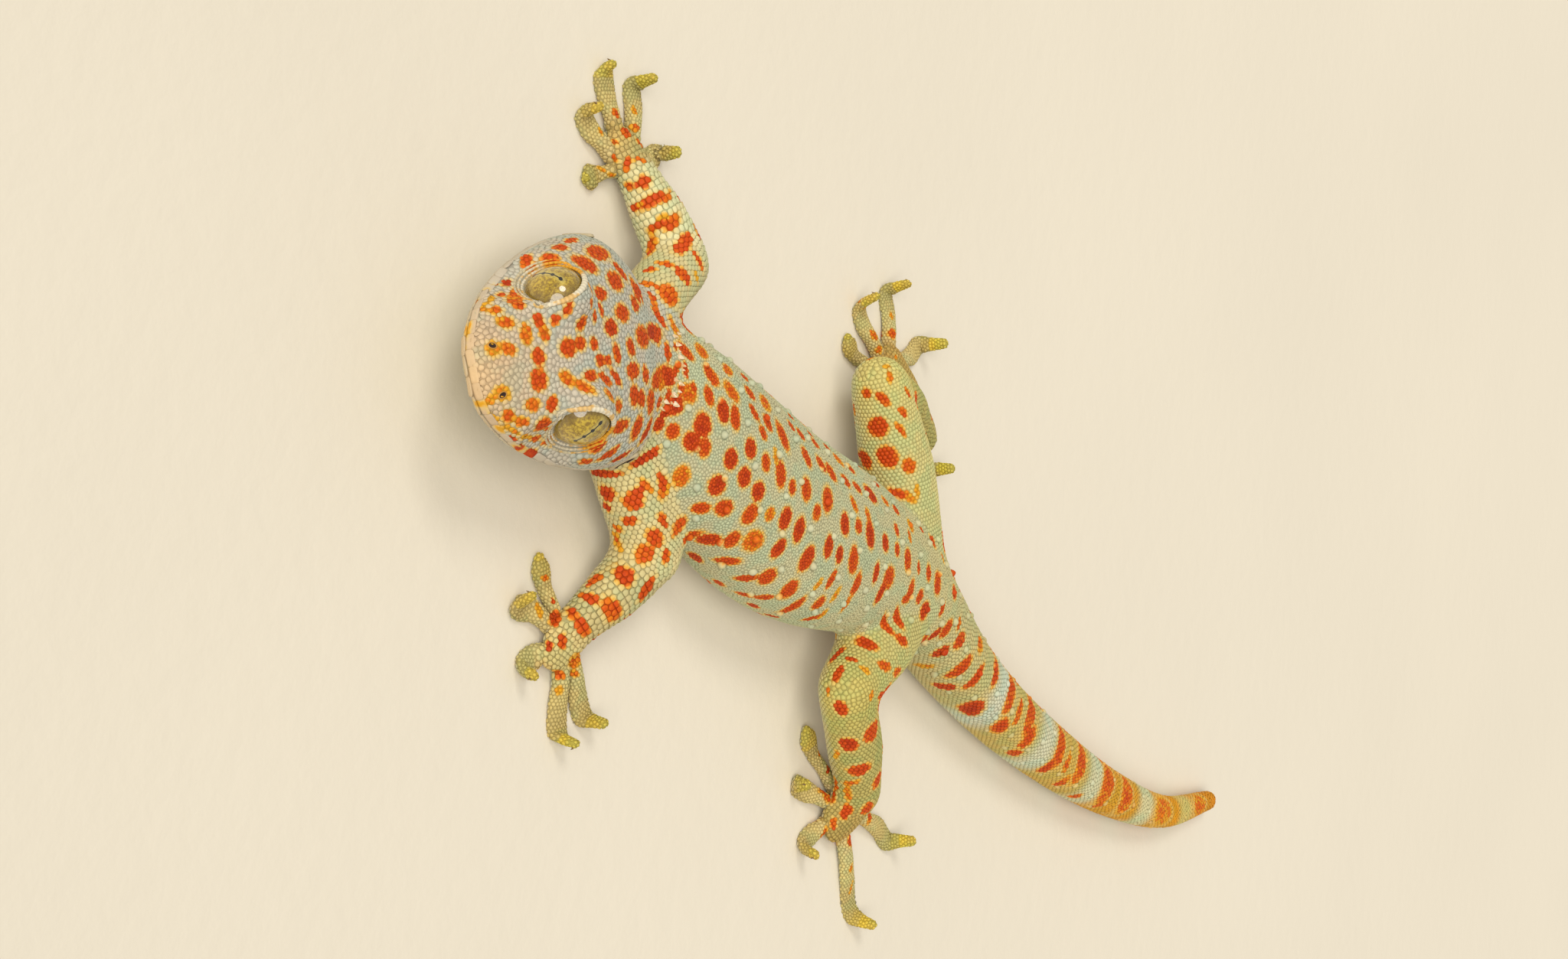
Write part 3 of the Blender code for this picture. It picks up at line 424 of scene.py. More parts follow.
def grid_faces(rings, sides, first=0):
    """Triangles of a closed grid: rings of points joined side by side, with a pole point past each end."""
    ring = np.arange(rings - 1)[:, None]
    side = np.arange(sides)[None, :]
    a = first + ring * sides + side
    b = first + ring * sides + (side + 1) % sides
    body = np.concatenate([np.stack([a, b, b + sides], -1), np.stack([a, b + sides, a + sides], -1)])
    body = body.reshape(-1, 3)
    side = np.arange(sides)
    beside = (side + 1) % sides
    last = first + (rings - 1) * sides
    pole = first + rings * sides
    start = np.stack([np.full(sides, pole), beside + first, side + first], -1)
    end = np.stack([np.full(sides, pole + 1), last + side, last + beside], -1)
    return np.concatenate([body, start, end])


def to_metres(points):
    """Millimetres from the front of the shoulders become metres from the middle of the model."""
    return (np.asarray(points) - BOX_MIDDLE) * MM


def to_millimetres(points):
    return np.asarray(points) / MM + BOX_MIDDLE


def closed_grid(grid):
    """Points of a grid of rings with its two pole points added."""
    rings, sides, _ = grid.shape
    ends = np.stack([grid[0].mean(axis=0), grid[-1].mean(axis=0)])
    return np.concatenate([grid.reshape(-1, 3), ends])


def points_of(obj):
    co = np.empty(len(obj.data.vertices) * 3, np.float32)
    obj.data.vertices.foreach_get("co", co)
    return co.reshape(-1, 3).astype(float)


def set_points(obj, points):
    obj.data.vertices.foreach_set("co", np.asarray(points, np.float32).ravel())
    obj.data.update()


def apply_modifiers(obj):
    graph = bpy.context.evaluated_depsgraph_get()
    mesh = bpy.data.meshes.new_from_object(obj.evaluated_get(graph))
    old = obj.data
    obj.modifiers.clear()
    obj.data = mesh
    bpy.data.meshes.remove(old)


def edges_of(obj):
    pairs = np.empty(len(obj.data.edges) * 2, np.int32)
    obj.data.edges.foreach_get("vertices", pairs)
    return pairs.reshape(-1, 2)


def smoothed(points, edges, strength, rounds, keep_size=True):
    """Each point moves towards the mean of its neighbours; every other round pushes back, which keeps the size."""
    count = np.maximum(1, np.bincount(edges.ravel(), minlength=len(points)))
    for number in range(rounds):
        mean = np.stack(
            [
                np.bincount(edges[:, 0], points[edges[:, 1], k], len(points))
                + np.bincount(edges[:, 1], points[edges[:, 0], k], len(points))
                for k in range(3)
            ],
            axis=1,
        )
        step = mean / count[:, None] - points
        share = strength
        if keep_size and number % 2:
            share = -1.04 * strength
        points = points + share[:, None] * step
    return points


def set_float(mesh, name, values):
    layer = mesh.attributes.new(name, "FLOAT", "POINT")
    layer.data.foreach_set("value", np.asarray(values, np.float32))


def set_colour(mesh, name, values):
    layer = mesh.attributes.new(name, "FLOAT_COLOR", "POINT")
    whole = np.concatenate([values, np.ones((len(values), 1))], axis=1)
    layer.data.foreach_set("color", whole.astype(np.float32).ravel())


# Camera


def turned(ahead, right, up):
    """A direction given against the photograph's level axes, in the body's frame."""
    x, y = -right, ahead
    c, s = math.cos(LIES_TURNED), math.sin(LIES_TURNED)
    return Vector((x * c - y * s, x * s + y * c, up))


def camera_axes():
    """Ahead, right and up of the camera, which looks down and is rolled a quarter turn."""
    c, s = math.cos(LOOK_DOWN), math.sin(LOOK_DOWN)
    return turned(c, 0.0, -s), turned(s, 0.0, c), turned(0.0, 1.0, 0.0)


def camera_place():
    """Where the photograph was taken from, in millimetres in the body's frame."""
    ahead, right, up = camera_axes()
    across = (SHOULDER_PIXEL[0] - PHOTO_SIZE[0] / 2) / FOCAL
    above = (PHOTO_SIZE[1] / 2 - SHOULDER_PIXEL[1]) / FOCAL
    ray = (ahead + right * across + up * above).normalized()
    return np.array(-ray * (FOCAL / PIXELS_A_MM))


# Markings


def linear(colour):
    """A colour given as the eye reads it, 0 to 255, as linear light."""
    c = np.asarray(colour, float) / 255
    return np.where(c <= 0.04045, c / 12.92, ((c + 0.055) / 1.055) ** 2.4)


# Ground colours along each form: share of its length, or millimetres on the spine, and colour. A form's own entry
# for one side is its kind's colour made lighter: painted light for the side that the light falls on more.
GROUND = {
    "head": (
        (0.0, (236, 200, 148)),
        (0.10, (230, 197, 154)),
        (0.22, (221, 200, 168)),
        (0.36, (214, 203, 180)),
        (0.85, (210, 200, 176)),
        (1.0, (208, 196, 164)),
    ),
    "spine": (
        (0.0, (210, 202, 162)),
        (12.0, (214, 207, 170)),
        (60.0, (215, 208, 168)),
        (100.0, (221, 206, 150)),
        (120.5, (221, 200, 134)),
        (124.0, (226, 223, 200)),
        (128.5, (226, 223, 200)),
        (131.0, (222, 194, 114)),
        (144.0, (222, 194, 114)),
        (146.5, (226, 222, 193)),
        (151.0, (226, 222, 193)),
        (153.5, (228, 186, 92)),
        (169.0, (228, 186, 92)),
        (171.5, (228, 222, 184)),
        (176.0, (228, 222, 184)),
        (178.5, (236, 168, 46)),
        (197.0, (236, 168, 46)),
        (200.0, (229, 218, 170)),
        (205.0, (229, 218, 170)),
        (208.0, (242, 164, 26)),
        (222.0, (242, 164, 26)),
        (225.0, (234, 204, 120)),
        (230.0, (234, 204, 120)),
        (234.0, (240, 158, 30)),
        (246.0, (232, 150, 32)),
    ),
    "upper_arm": ((0.0, (216, 200, 152)), (1.0, (226, 208, 160))),
    # Painted light: the left upper arm made lighter, for the light that falls on it more.
    "upper_arm_left": ((0.0, (222, 206, 156)), (1.0, (236, 216, 164))),
    "forearm": ((0.0, (226, 210, 162)), (1.0, (220, 200, 146))),
    # Painted light: the right forearm made lighter, for the light that falls on it more.
    "forearm_right": ((0.0, (246, 234, 192)), (1.0, (240, 224, 176))),
    "hand": ((0.0, (216, 196, 140)), (1.0, (214, 180, 116))),
    # Painted light: the left hand made lighter, for the light that falls on it more.
    "hand_left": ((0.0, (232, 214, 162)), (1.0, (234, 202, 140))),
    "thigh": ((0.0, (214, 202, 148)), (0.7, (220, 206, 144)), (1.0, (222, 204, 132))),
    # Painted light: the right thigh made lighter, for the light that falls on it more.
    "thigh_right": ((0.0, (220, 208, 158)), (0.7, (228, 214, 158)), (1.0, (230, 214, 150))),
    "shin": ((0.0, (214, 196, 122)), (0.4, (200, 186, 122)), (1.0, (200, 182, 118))),
    "foot": ((0.0, (206, 184, 122)), (1.0, (206, 168, 104))),
    "digit": (
        (0.0, (232, 208, 156)),
        (0.35, (230, 206, 144)),
        (0.68, (212, 188, 128)),
        (0.80, (214, 188, 112)),
        (0.88, (246, 212, 84)),
        (1.0, (236, 204, 96)),
    ),
}
# How much of the blue in a ground colour is kept.
BLUE_KEPT = {
    "head": 1.0,
    "spine": 0.9,
    "upper_arm": 0.85,
    "forearm": 0.85,
    "hand": 0.82,
    "thigh": 0.76,
    "shin": 0.76,
    "foot": 0.74,
    "digit": 0.82,
}
UNDERSIDE = (226, 214, 176)
LIP = (226, 196, 160)

# Spots from the photograph: distance along the form, turn round it in degrees, half length and half width
# in millimetres, turn of the long side away from the form's axis in degrees, and tint: 0 ochre, 1 orange, 2 red,
# 3 dark red.
SPOTS = {
    "head": (
        (2.2, 112, 1.1, 0.9, -20, 0), (2.2, 66, 1.2, 0.9, 10, 0), (0.7, 35, 1.0, 0.5, 90, 0),
        (0.5, -10, 1.2, 0.4, 90, 0), (0.5, 200, 0.5, 0.3, 0, 0), (1.2, 190, 0.9, 0.35, 0, 0),
        (2.3, 205, 0.6, 0.3, 0, 0), (2.2, 185, 0.8, 0.3, 0, 0), (4.6, 172, 0.9, 0.35, 0, 0),
        (6.0, 168, 1.1, 0.4, 0, 0), (6.4, 190, 0.8, 0.4, 0, 1), (8.6, 168, 0.9, 0.45, 0, 2),
        (8.6, 185, 0.6, 0.3, 0, 3), (10.6, 185, 0.5, 0.25, 0, 3), (11.8, 178, 1.1, 0.4, 0, 3),
        (13.8, 165, 1.3, 0.7, 0, 2), (15.0, 153, 1.3, 0.7, 0, 1), (11.8, 150, 1.4, 0.6, 0, 1),
        (8.6, 142, 1.3, 0.95, 0, 1), (11.4, 148, 3.4, 0.7, 18, 1), (5.0, 150, 1.0, 0.6, -45, 1), (5.2, 128, 1.25, 0.8, -35, 1),
        (8.3, 133, 0.95, 0.65, -20, 2), (4.2, 104, 1.2, 0.75, -40, 1), (7.4, 108, 1.4, 0.85, 62, 1),
        (10.3, 103, 1.05, 0.8, 75, 1), (8.4, 92, 1.15, 1.0, 90, 2), (7.8, 81, 1.35, 1.3, 0, 2),
        (6.4, 61, 1.2, 0.75, 10, 1), (9.6, 65, 1.1, 0.8, 90, 2), (3.2, 37, 1.0, 0.8, -20, 1),
        (5.0, 38, 1.25, 0.6, 15, 1), (8.6, 44, 1.2, 1.0, 0, 2), (10.6, 36, 1.2, 0.4, -30, 2),
        (12.5, 33, 1.5, 0.45, -5, 3), (15.5, 33, 1.2, 0.6, 0, 3), (3.9, 16, 0.8, 0.4, 0, 0),
        (5.2, 18, 0.8, 0.4, 0, 0), (3.4, 2, 0.7, 0.3, 0, 0), (1.8, 12, 1.0, 0.25, 0, 0),
        (5.6, 4, 0.8, 0.3, 0, 3), (7.4, 16, 1.4, 0.4, 0, 0), (9.6, 14, 1.2, 0.6, 0, 2),
        (8.4, -4, 1.0, 0.5, 0, 3), (12.4, 9, 1.2, 0.5, 0, 2), (11.4, -4, 1.0, 0.45, 0, 3),
        (17.0, 174, 1.2, 0.6, 0, 2), (22.3, 158, 1.2, 0.8, -20, 2), (18.6, 153, 1.3, 1.1, -40, 2),
        (26.0, 160, 1.5, 0.6, 0, 2), (28.4, 139, 2.6, 1.2, 0, 2), (23.4, 134, 2.2, 1.3, -30, 2),
        (28.4, 118, 2.0, 1.35, 0, 2), (31.5, 124, 1.7, 0.8, -50, 2), (34.6, 113, 1.9, 1.1, 90, 2),
        (36.5, 113, 1.4, 0.8, 90, 3), (23.2, 113, 1.5, 0.9, 0, 2), (19.4, 116, 1.0, 0.95, 90, 1),
        (32.2, 105, 1.2, 1.1, 0, 2), (27.2, 101.5, 1.9, 1.15, 0, 2), (23.3, 96.5, 1.6, 1.1, 0, 3),
        (27.4, 89, 1.3, 1.1, 90, 2), (32.2, 91, 2.3, 1.4, 0, 2), (37.2, 92, 3.0, 1.2, 0, 3),
        (18.3, 108, 0.6, 0.6, 90, 2), (22.0, 105, 1.0, 0.5, 90, 2), (19.8, 102, 0.85, 0.6, 70, 2),
        (16.4, 100.5, 1.0, 0.75, 20, 2), (14.2, 110, 1.1, 0.6, 50, 2), (12.4, 107, 0.8, 0.6, 20, 2),
        (10.0, 112, 0.85, 0.85, 0, 2), (13.6, 92.5, 1.4, 1.1, 0, 2), (16.0, 93, 1.0, 0.9, 0, 2),
        (18.6, 92, 0.9, 0.8, 90, 2), (19.2, 87, 0.9, 0.9, 90, 2), (20.8, 86.5, 0.9, 0.6, 0, 2),
        (23.3, 88, 1.35, 0.9, 85, 2), (27.0, 80.5, 1.8, 1.05, 0, 2), (12.4, 81.5, 1.3, 0.8, -30, 1),
        (14.6, 77, 1.5, 0.75, -35, 1), (16.4, 82, 1.3, 0.75, 0, 2), (19.4, 79.5, 1.5, 0.6, -35, 2),
        (22.2, 79, 1.6, 0.6, -50, 2), (18.2, 72, 1.4, 0.8, -25, 1), (30.8, 77, 1.25, 1.0, 90, 2),
        (35.5, 72, 2.6, 1.2, 0, 2), (38.8, 70, 1.6, 1.4, 90, 3), (22.0, 65, 1.1, 0.85, 0, 1),
        (26.6, 68.5, 1.4, 1.2, 90, 2), (28.8, 66, 1.2, 1.15, 90, 2), (32.2, 62, 1.6, 1.4, 90, 2),
        (23.2, 51.5, 2.0, 0.9, 10, 2), (28.0, 49, 1.8, 1.3, 60, 2), (19.2, 36, 1.4, 1.2, 30, 2),
        (22.8, 27, 1.9, 0.8, 45, 2), (27.0, 24, 1.9, 0.6, 30, 3), (19.8, 14, 1.2, 0.7, 10, 2),
        (16.0, 25, 1.2, 0.7, 0, 2), (32.0, 43, 2.2, 0.9, 40, 3),
    ),
    "spine": (
        (1.8, 77, 1.3, 0.75, 60, 2), (2.0, 56, 1.9, 0.5, 15, 2), (4.9, 80, 1.4, 0.5, 60, 2), (5.3, 50, 1.7, 0.6, 40, 1),
        (6.0, 70.5, 0.7, 0.35, 60, 2), (8.0, 66.5, 1.9, 0.65, 9, 2), (11.3, 52, 1.3, 0.9, 20, 1),
        (8.9, 81, 1.2, 0.45, 60, 2), (7.2, 88, 1.7, 0.45, 100, 2), (5.0, 100, 1.7, 1.1, 60, 1), (7.9, 105, 1.1, 0.4, 85, 2),
        (10.9, 92, 1.4, 1.2, 60, 1), (11.3, 88, 1.0, 0.5, 60, 2), (9.6, 102, 1.3, 0.4, 130, 3), (9.6, 93, 0.9, 0.6, 60, 2),
        (14.3, 84.5, 1.5, 0.7, 50, 2), (13.7, 69.5, 1.8, 0.8, 22, 2), (17.1, 51.5, 1.1, 0.75, -20, 1),
        (18.3, 69, 1.8, 0.8, 15, 1), (22.0, 43, 0.9, 0.45, 0, 2), (22.7, 57, 1.3, 0.6, 15, 2), (27.3, 53, 1.4, 0.95, 10, 1),
        (24.2, 70, 1.5, 0.5, 25, 2), (28.0, 68.5, 1.4, 0.6, 28, 2), (27.2, 77.5, 1.2, 0.55, 30, 2),
        (32.3, 68, 2.4, 0.8, 40, 2), (36.0, 40, 0.8, 0.35, 10, 2), (35.0, 52.5, 1.0, 0.4, 25, 2), (38.0, 52, 1.2, 0.55, 20, 2),
        (39.6, 67, 1.8, 0.7, 35, 2), (17.7, 86, 1.8, 0.95, 60, 3), (20.3, 83.5, 1.8, 0.8, 60, 2), (15.4, 101.5, 1.8, 1.2, 60, 3),
        (25.5, 90.5, 1.5, 1.0, 55, 3), (29.7, 90, 1.4, 0.75, 55, 2), (31.5, 83.5, 1.3, 0.4, 55, 0), (33.8, 89.5, 2.0, 0.95, 60, 2),
        (37.4, 90, 1.2, 0.7, 70, 2), (41.0, 85.5, 1.8, 1.0, 60, 2), (22.6, 104, 1.5, 1.05, 65, 3), (26.6, 106, 1.5, 1.05, 60, 3),
        (23.0, 124, 1.5, 1.2, 80, 3), (30.5, 106, 1.5, 1.05, 75, 3), (31.4, 121, 1.7, 1.0, 100, 2), (26.7, 131.5, 1.3, 1.2, 60, 2),
        (23.9, 145.5, 1.5, 0.75, -45, 2), (23.4, 168, 1.4, 1.0, -40, 2), (23.2, 179, 1.1, 0.5, 20, 1), (27.5, 181, 1.1, 0.8, 30, 3),
        (29.7, 159, 1.9, 0.9, -50, 3), (32.1, 144.5, 1.5, 0.95, 80, 2), (35.2, 133, 1.7, 1.4, 60, 1), (34.9, 111.5, 1.1, 0.75, 95, 1),
        (38.4, 106.5, 1.8, 1.0, 80, 3), (42.4, 106, 2.0, 1.0, 75, 3), (40.3, 124.5, 1.7, 0.9, 95, 3), (33.2, 183.5, 1.5, 0.8, 0, 3),
        (35.3, 161, 2.0, 0.7, -50, 2), (42.5, 146, 1.4, 1.2, 0, 2), (40.3, 160, 1.9, 0.6, -55, 2), (40.6, 185.5, 1.1, 0.6, -20, 2),
        (44.2, 175, 1.6, 0.5, -45, 2), (46.0, 163, 1.5, 0.55, -50, 2), (47.7, 144, 1.9, 1.1, 75, 2), (48.0, 181, 1.2, 0.6, -10, 3),
        (51.3, 155, 2.5, 0.7, 92, 2), (52.5, 181, 1.2, 0.5, -30, 3), (15.3, 116, 1.4, 1.1, 60, 3), (17.5, 112, 1.4, 0.9, 60, 2),
        (12.0, 122, 1.1, 0.9, 0, 2), (9.8, 108, 2.0, 0.8, 130, 3), (8.8, 118, 0.8, 0.5, 120, 3), (9.0, 128, 1.3, 0.8, 110, 3),
        (6.8, 116, 1.0, 0.5, 90, 2), (17.7, 141, 1.6, 1.0, 50, 1), (17.2, 158, 1.5, 0.7, 40, 1),
        (42.5, 40, 0.7, 0.3, 10, 2), (43.3, 47, 1.2, 0.5, 15, 2), (49.0, 37, 0.9, 0.5, -20, 3), (44.5, 62.5, 1.6, 0.65, 20, 2),
        (48.0, 62.5, 1.7, 0.7, 25, 2), (52.5, 44, 1.4, 0.6, 20, 1), (47.4, 81.5, 2.0, 1.1, 75, 2), (45.2, 91, 1.3, 0.8, 95, 2),
        (53.4, 60.5, 1.4, 0.55, 20, 2), (57.0, 44.5, 1.2, 0.55, 20, 2), (57.5, 60, 1.4, 0.5, 20, 2), (62.2, 58.5, 2.0, 0.85, 20, 3),
        (56.0, 74, 1.6, 0.5, 40, 1), (53.7, 88, 1.8, 0.95, 65, 3), (57.9, 85, 1.2, 0.8, 65, 2), (60.8, 76, 1.4, 0.5, 50, 1),
        (61.9, 86.5, 2.2, 0.95, 65, 3), (50.6, 103, 1.8, 0.85, 75, 3), (54.0, 104, 1.4, 0.75, 70, 3), (58.2, 103, 2.2, 1.0, 70, 2),
        (46.8, 117, 2.1, 1.1, 90, 3), (52.0, 128, 1.2, 0.4, 100, 0), (54.3, 120.5, 1.6, 0.55, 95, 2), (57.2, 129, 1.4, 0.4, 95, 0),
        (54.9, 141.5, 1.4, 0.8, 90, 2), (57.0, 159, 1.6, 0.5, -50, 2), (58.0, 150, 1.2, 0.4, 80, 0), (61.3, 133, 1.6, 0.4, 90, 1),
        (61.2, 117, 2.0, 0.7, 90, 2), (65.9, 104.5, 1.8, 0.6, 85, 3), (67.2, 86.5, 1.5, 0.75, 65, 3), (71.0, 74, 1.1, 0.55, 50, 2),
        (71.5, 86.5, 1.2, 0.65, 65, 2), (76.6, 61, 1.2, 0.6, 40, 0), (75.8, 72, 1.1, 0.4, 60, 1), (75.6, 89.5, 1.9, 0.85, 70, 2),
        (80.0, 90, 1.1, 0.45, 65, 2), (84.0, 88.5, 1.5, 0.65, 65, 2), (88.2, 90, 1.9, 0.95, 60, 2), (70.3, 105, 1.9, 1.2, 85, 2),
        (69.3, 117.5, 1.9, 0.7, 100, 3), (79.3, 110, 2.0, 0.75, 85, 2), (78.5, 118, 0.8, 0.7, 90, 2), (83.2, 109.5, 1.2, 0.75, 80, 2),
        (86.8, 119, 1.5, 1.0, 95, 3), (93.2, 104, 1.3, 0.55, 75, 2), (91.5, 143, 0.7, 0.4, 60, 0), (95.5, 178, 1.2, 0.8, 40, 2),
        (96.0, 77, 1.3, 0.9, 50, 2), (81.5, 52, 0.8, 0.35, 20, 2), (85.5, 54, 1.3, 0.45, 30, 2), (89.5, 60, 0.9, 0.35, 40, 0),
        (71.8, 56, 1.1, 0.5, 15, 2), (67.7, 55.5, 1.1, 0.45, 15, 1), (66.5, 41, 0.9, 0.4, -10, 2),
        (98.4, 114, 1.9, 0.8, 88, 2), (96.5, 131, 1.6, 0.6, 95, 3), (101.4, 95, 1.2, 0.4, 75, 1), (104.3, 107, 1.7, 0.9, 92, 2),
        (102.3, 141, 1.7, 0.8, 100, 3), (110.3, 130, 3.0, 0.9, 92, 2), (112.3, 79, 1.5, 0.8, 70, 1), (115.6, 117, 2.9, 0.7, 92, 2),
        (113.2, 172, 2.0, 0.8, -70, 3), (105.5, 178, 1.8, 0.5, 90, 0), (122.4, 159, 2.4, 1.6, 90, 3), (121.3, 82, 2.9, 0.7, 85, 2),
        (129.6, 84, 4.2, 1.0, 90, 1.5), (134.5, 97, 2.6, 0.7, 90, 1.2), (132.0, 140, 1.9, 1.4, 90, 2),
        (139.4, 84, 4.2, 1.1, 90, 1.5), (141.8, 118, 2.6, 1.1, 100, 1.5), (143.0, 163, 1.4, 1.0, 90, 2),
        (155.0, 92, 4.6, 1.2, 90, 1.5), (154.0, 140, 2.2, 0.9, 95, 2), (159.5, 106, 2.4, 0.6, 90, 1),
        (165.6, 90, 4.4, 1.4, 90, 1.2), (162.8, 146, 2.0, 0.8, 95, 1.2), (172.0, 163, 1.3, 0.7, 90, 1),
        (180.4, 90, 4.4, 1.8, 90, 1.2), (181.5, 148, 1.6, 0.8, 90, 1), (191.0, 92, 4.0, 1.9, 90, 1),
        (213.0, 90, 3.2, 3.0, 90, 0.5), (237.0, 90, 2.4, 2.4, 90, 0.8),
    ),
    "upper_arm_left": (
        (4.0, 109, 2.6, 0.75, 88, 3), (4.9, 182, 3.0, 0.6, 90, 3), (9.1, 91, 1.9, 0.75, 0, 2), (8.0, 187, 1.5, 1.1, 90, 3),
        (10.5, 196, 0.9, 0.7, 90, 3), (8.0, 118, 1.6, 0.5, -30, 1), (8.2, 134, 1.4, 0.6, 90, 2), (9.3, 146, 1.6, 1.0, 90, 2),
        (10.3, 147, 1.2, 0.4, 90, 2), (12.4, 162, 1.2, 0.6, 90, 2), (13.9, 186, 1.0, 0.5, 95, 1), (15.8, 198, 1.2, 0.6, 0, 0.5),
        (16.5, 192, 1.1, 0.5, -30, 0.5), (16.0, 126, 1.7, 0.95, -25, 2), (14.0, 105, 1.5, 0.6, -20, 2),
        (18.0, 150, 1.4, 1.2, 45, 1.4), (19.0, 189, 1.2, 0.55, 90, 2), (19.8, 113, 1.3, 0.65, 10, 2),
    ),
    "forearm_left": (
        (6.8, 131, 1.6, 1.2, 90, 2.5), (5.2, 78, 2.0, 0.85, -25, 2), (9.9, 180, 1.5, 0.6, 25, 2), (12.6, 151, 1.8, 0.65, 75, 2),
        (11.2, 91, 2.1, 1.2, 90, 1.6),
    ),
    "upper_arm_right": (
        (8.6, 74, 1.9, 1.4, 60, 1.6), (7.9, 27, 1.8, 0.5, 70, 1.5), (10.9, 15, 1.0, 0.5, 70, 2), (13.0, 33, 1.4, 0.6, 75, 1.5),
        (13.7, 75, 1.7, 0.9, 74, 2), (19.0, 80, 1.6, 0.6, 90, 1.5), (16.5, 95, 1.2, 0.4, 80, 0), (6.1, 46, 0.9, 0.4, 80, 2),
        (4.8, 58, 1.2, 0.5, 120, 1.5),
    ),
    "forearm_right": (
        (12.8, 49, 1.3, 0.8, 90, 2), (13.3, 2, 0.8, 0.5, 90, 2), (9.9, 48, 2.6, 0.8, 90, 2), (10.0, -3, 0.8, 0.6, 90, 2),
        (10.0, 10, 1.0, 0.4, 90, 0), (9.3, 87, 1.4, 0.5, 60, 1), (6.5, 37, 1.1, 0.6, 90, 1.6), (6.0, 64, 1.6, 0.9, 70, 1.6),
        (7.0, 49, 1.0, 0.5, 90, 0), (6.2, 13, 0.8, 0.6, 90, 1), (4.3, 3, 1.2, 0.8, 20, 1.5), (2.6, 60, 2.2, 0.9, 75, 2.4),
    ),
    "thigh_right": (
        (30.0, 2, 0.85, 0.8, 0, 1.6), (28.7, 34, 1.5, 0.7, -35, 2), (24.2, 14, 1.65, 1.6, 0, 2.2), (25.6, 69, 1.1, 0.55, -30, 1.5),
        (23.0, 55, 1.5, 0.5, -25, 1), (28.2, 95, 1.1, 0.5, -20, 1), (27.0, -45, 0.9, 0.5, 0, 1), (24.5, -60, 0.9, 0.5, 0, 1),
        (19.0, 21, 1.9, 1.5, -35, 2.2), (16.7, 55, 1.3, 1.0, -30, 1.5), (18.5, -22, 1.7, 1.1, -40, 2.2), (19.0, -42, 1.2, 0.5, 90, 2),
        (12.3, 29, 1.8, 0.6, -60, 2), (11.3, 47, 1.4, 0.6, -40, 0.5), (12.0, 62, 1.2, 0.4, 0, 0),
    ),
    "thigh_left": (
        (18.2, 149, 2.0, 0.9, 80, 2.5), (13.4, 143, 2.4, 0.6, 85, 2), (10.7, 132, 2.4, 0.6, 85, 2), (12.4, 102, 1.6, 0.8, 60, 2),
        (18.6, 97, 1.7, 0.7, 50, 1.4), (15.7, 67, 1.3, 0.8, 30, 1.5), (20.5, 48, 1.4, 0.7, 30, 2), (15.8, 205, 1.4, 0.8, 80, 3),
        (21.5, 194, 1.8, 0.6, 27, 2.5), (22.3, 160, 1.0, 0.5, 80, 2.5), (22.7, 124, 1.1, 0.4, 80, 0.5),
    ),
    "shin_left": (
        (7.5, 161, 1.5, 1.35, 0, 3), (7.0, 100, 1.7, 1.7, 0, 2), (13.9, 144, 2.0, 1.2, 90, 2.3), (19.7, 92, 1.5, 1.3, 60, 1.7),
        (17.2, 167, 1.6, 0.5, 70, 0.6), (20.0, 178, 1.9, 0.6, 0, 0.6), (25.0, 128, 1.6, 1.1, 0, 1.7), (24.0, 180, 1.3, 0.75, 0, 2),
        (19.5, 215, 1.6, 0.5, 0, 1), (14.5, 62, 0.9, 0.4, 0, 2), (10.5, 190, 1.2, 0.5, 20, 0),
    ),
    "shin_right": ((8.5, 120, 1.2, 0.6, 30, 1), (16.0, 150, 1.3, 0.6, 20, 1)),
}

SPOT_SPREAD = {"spine": (0.98, 1.28), "head": (1.0, 1.04)}

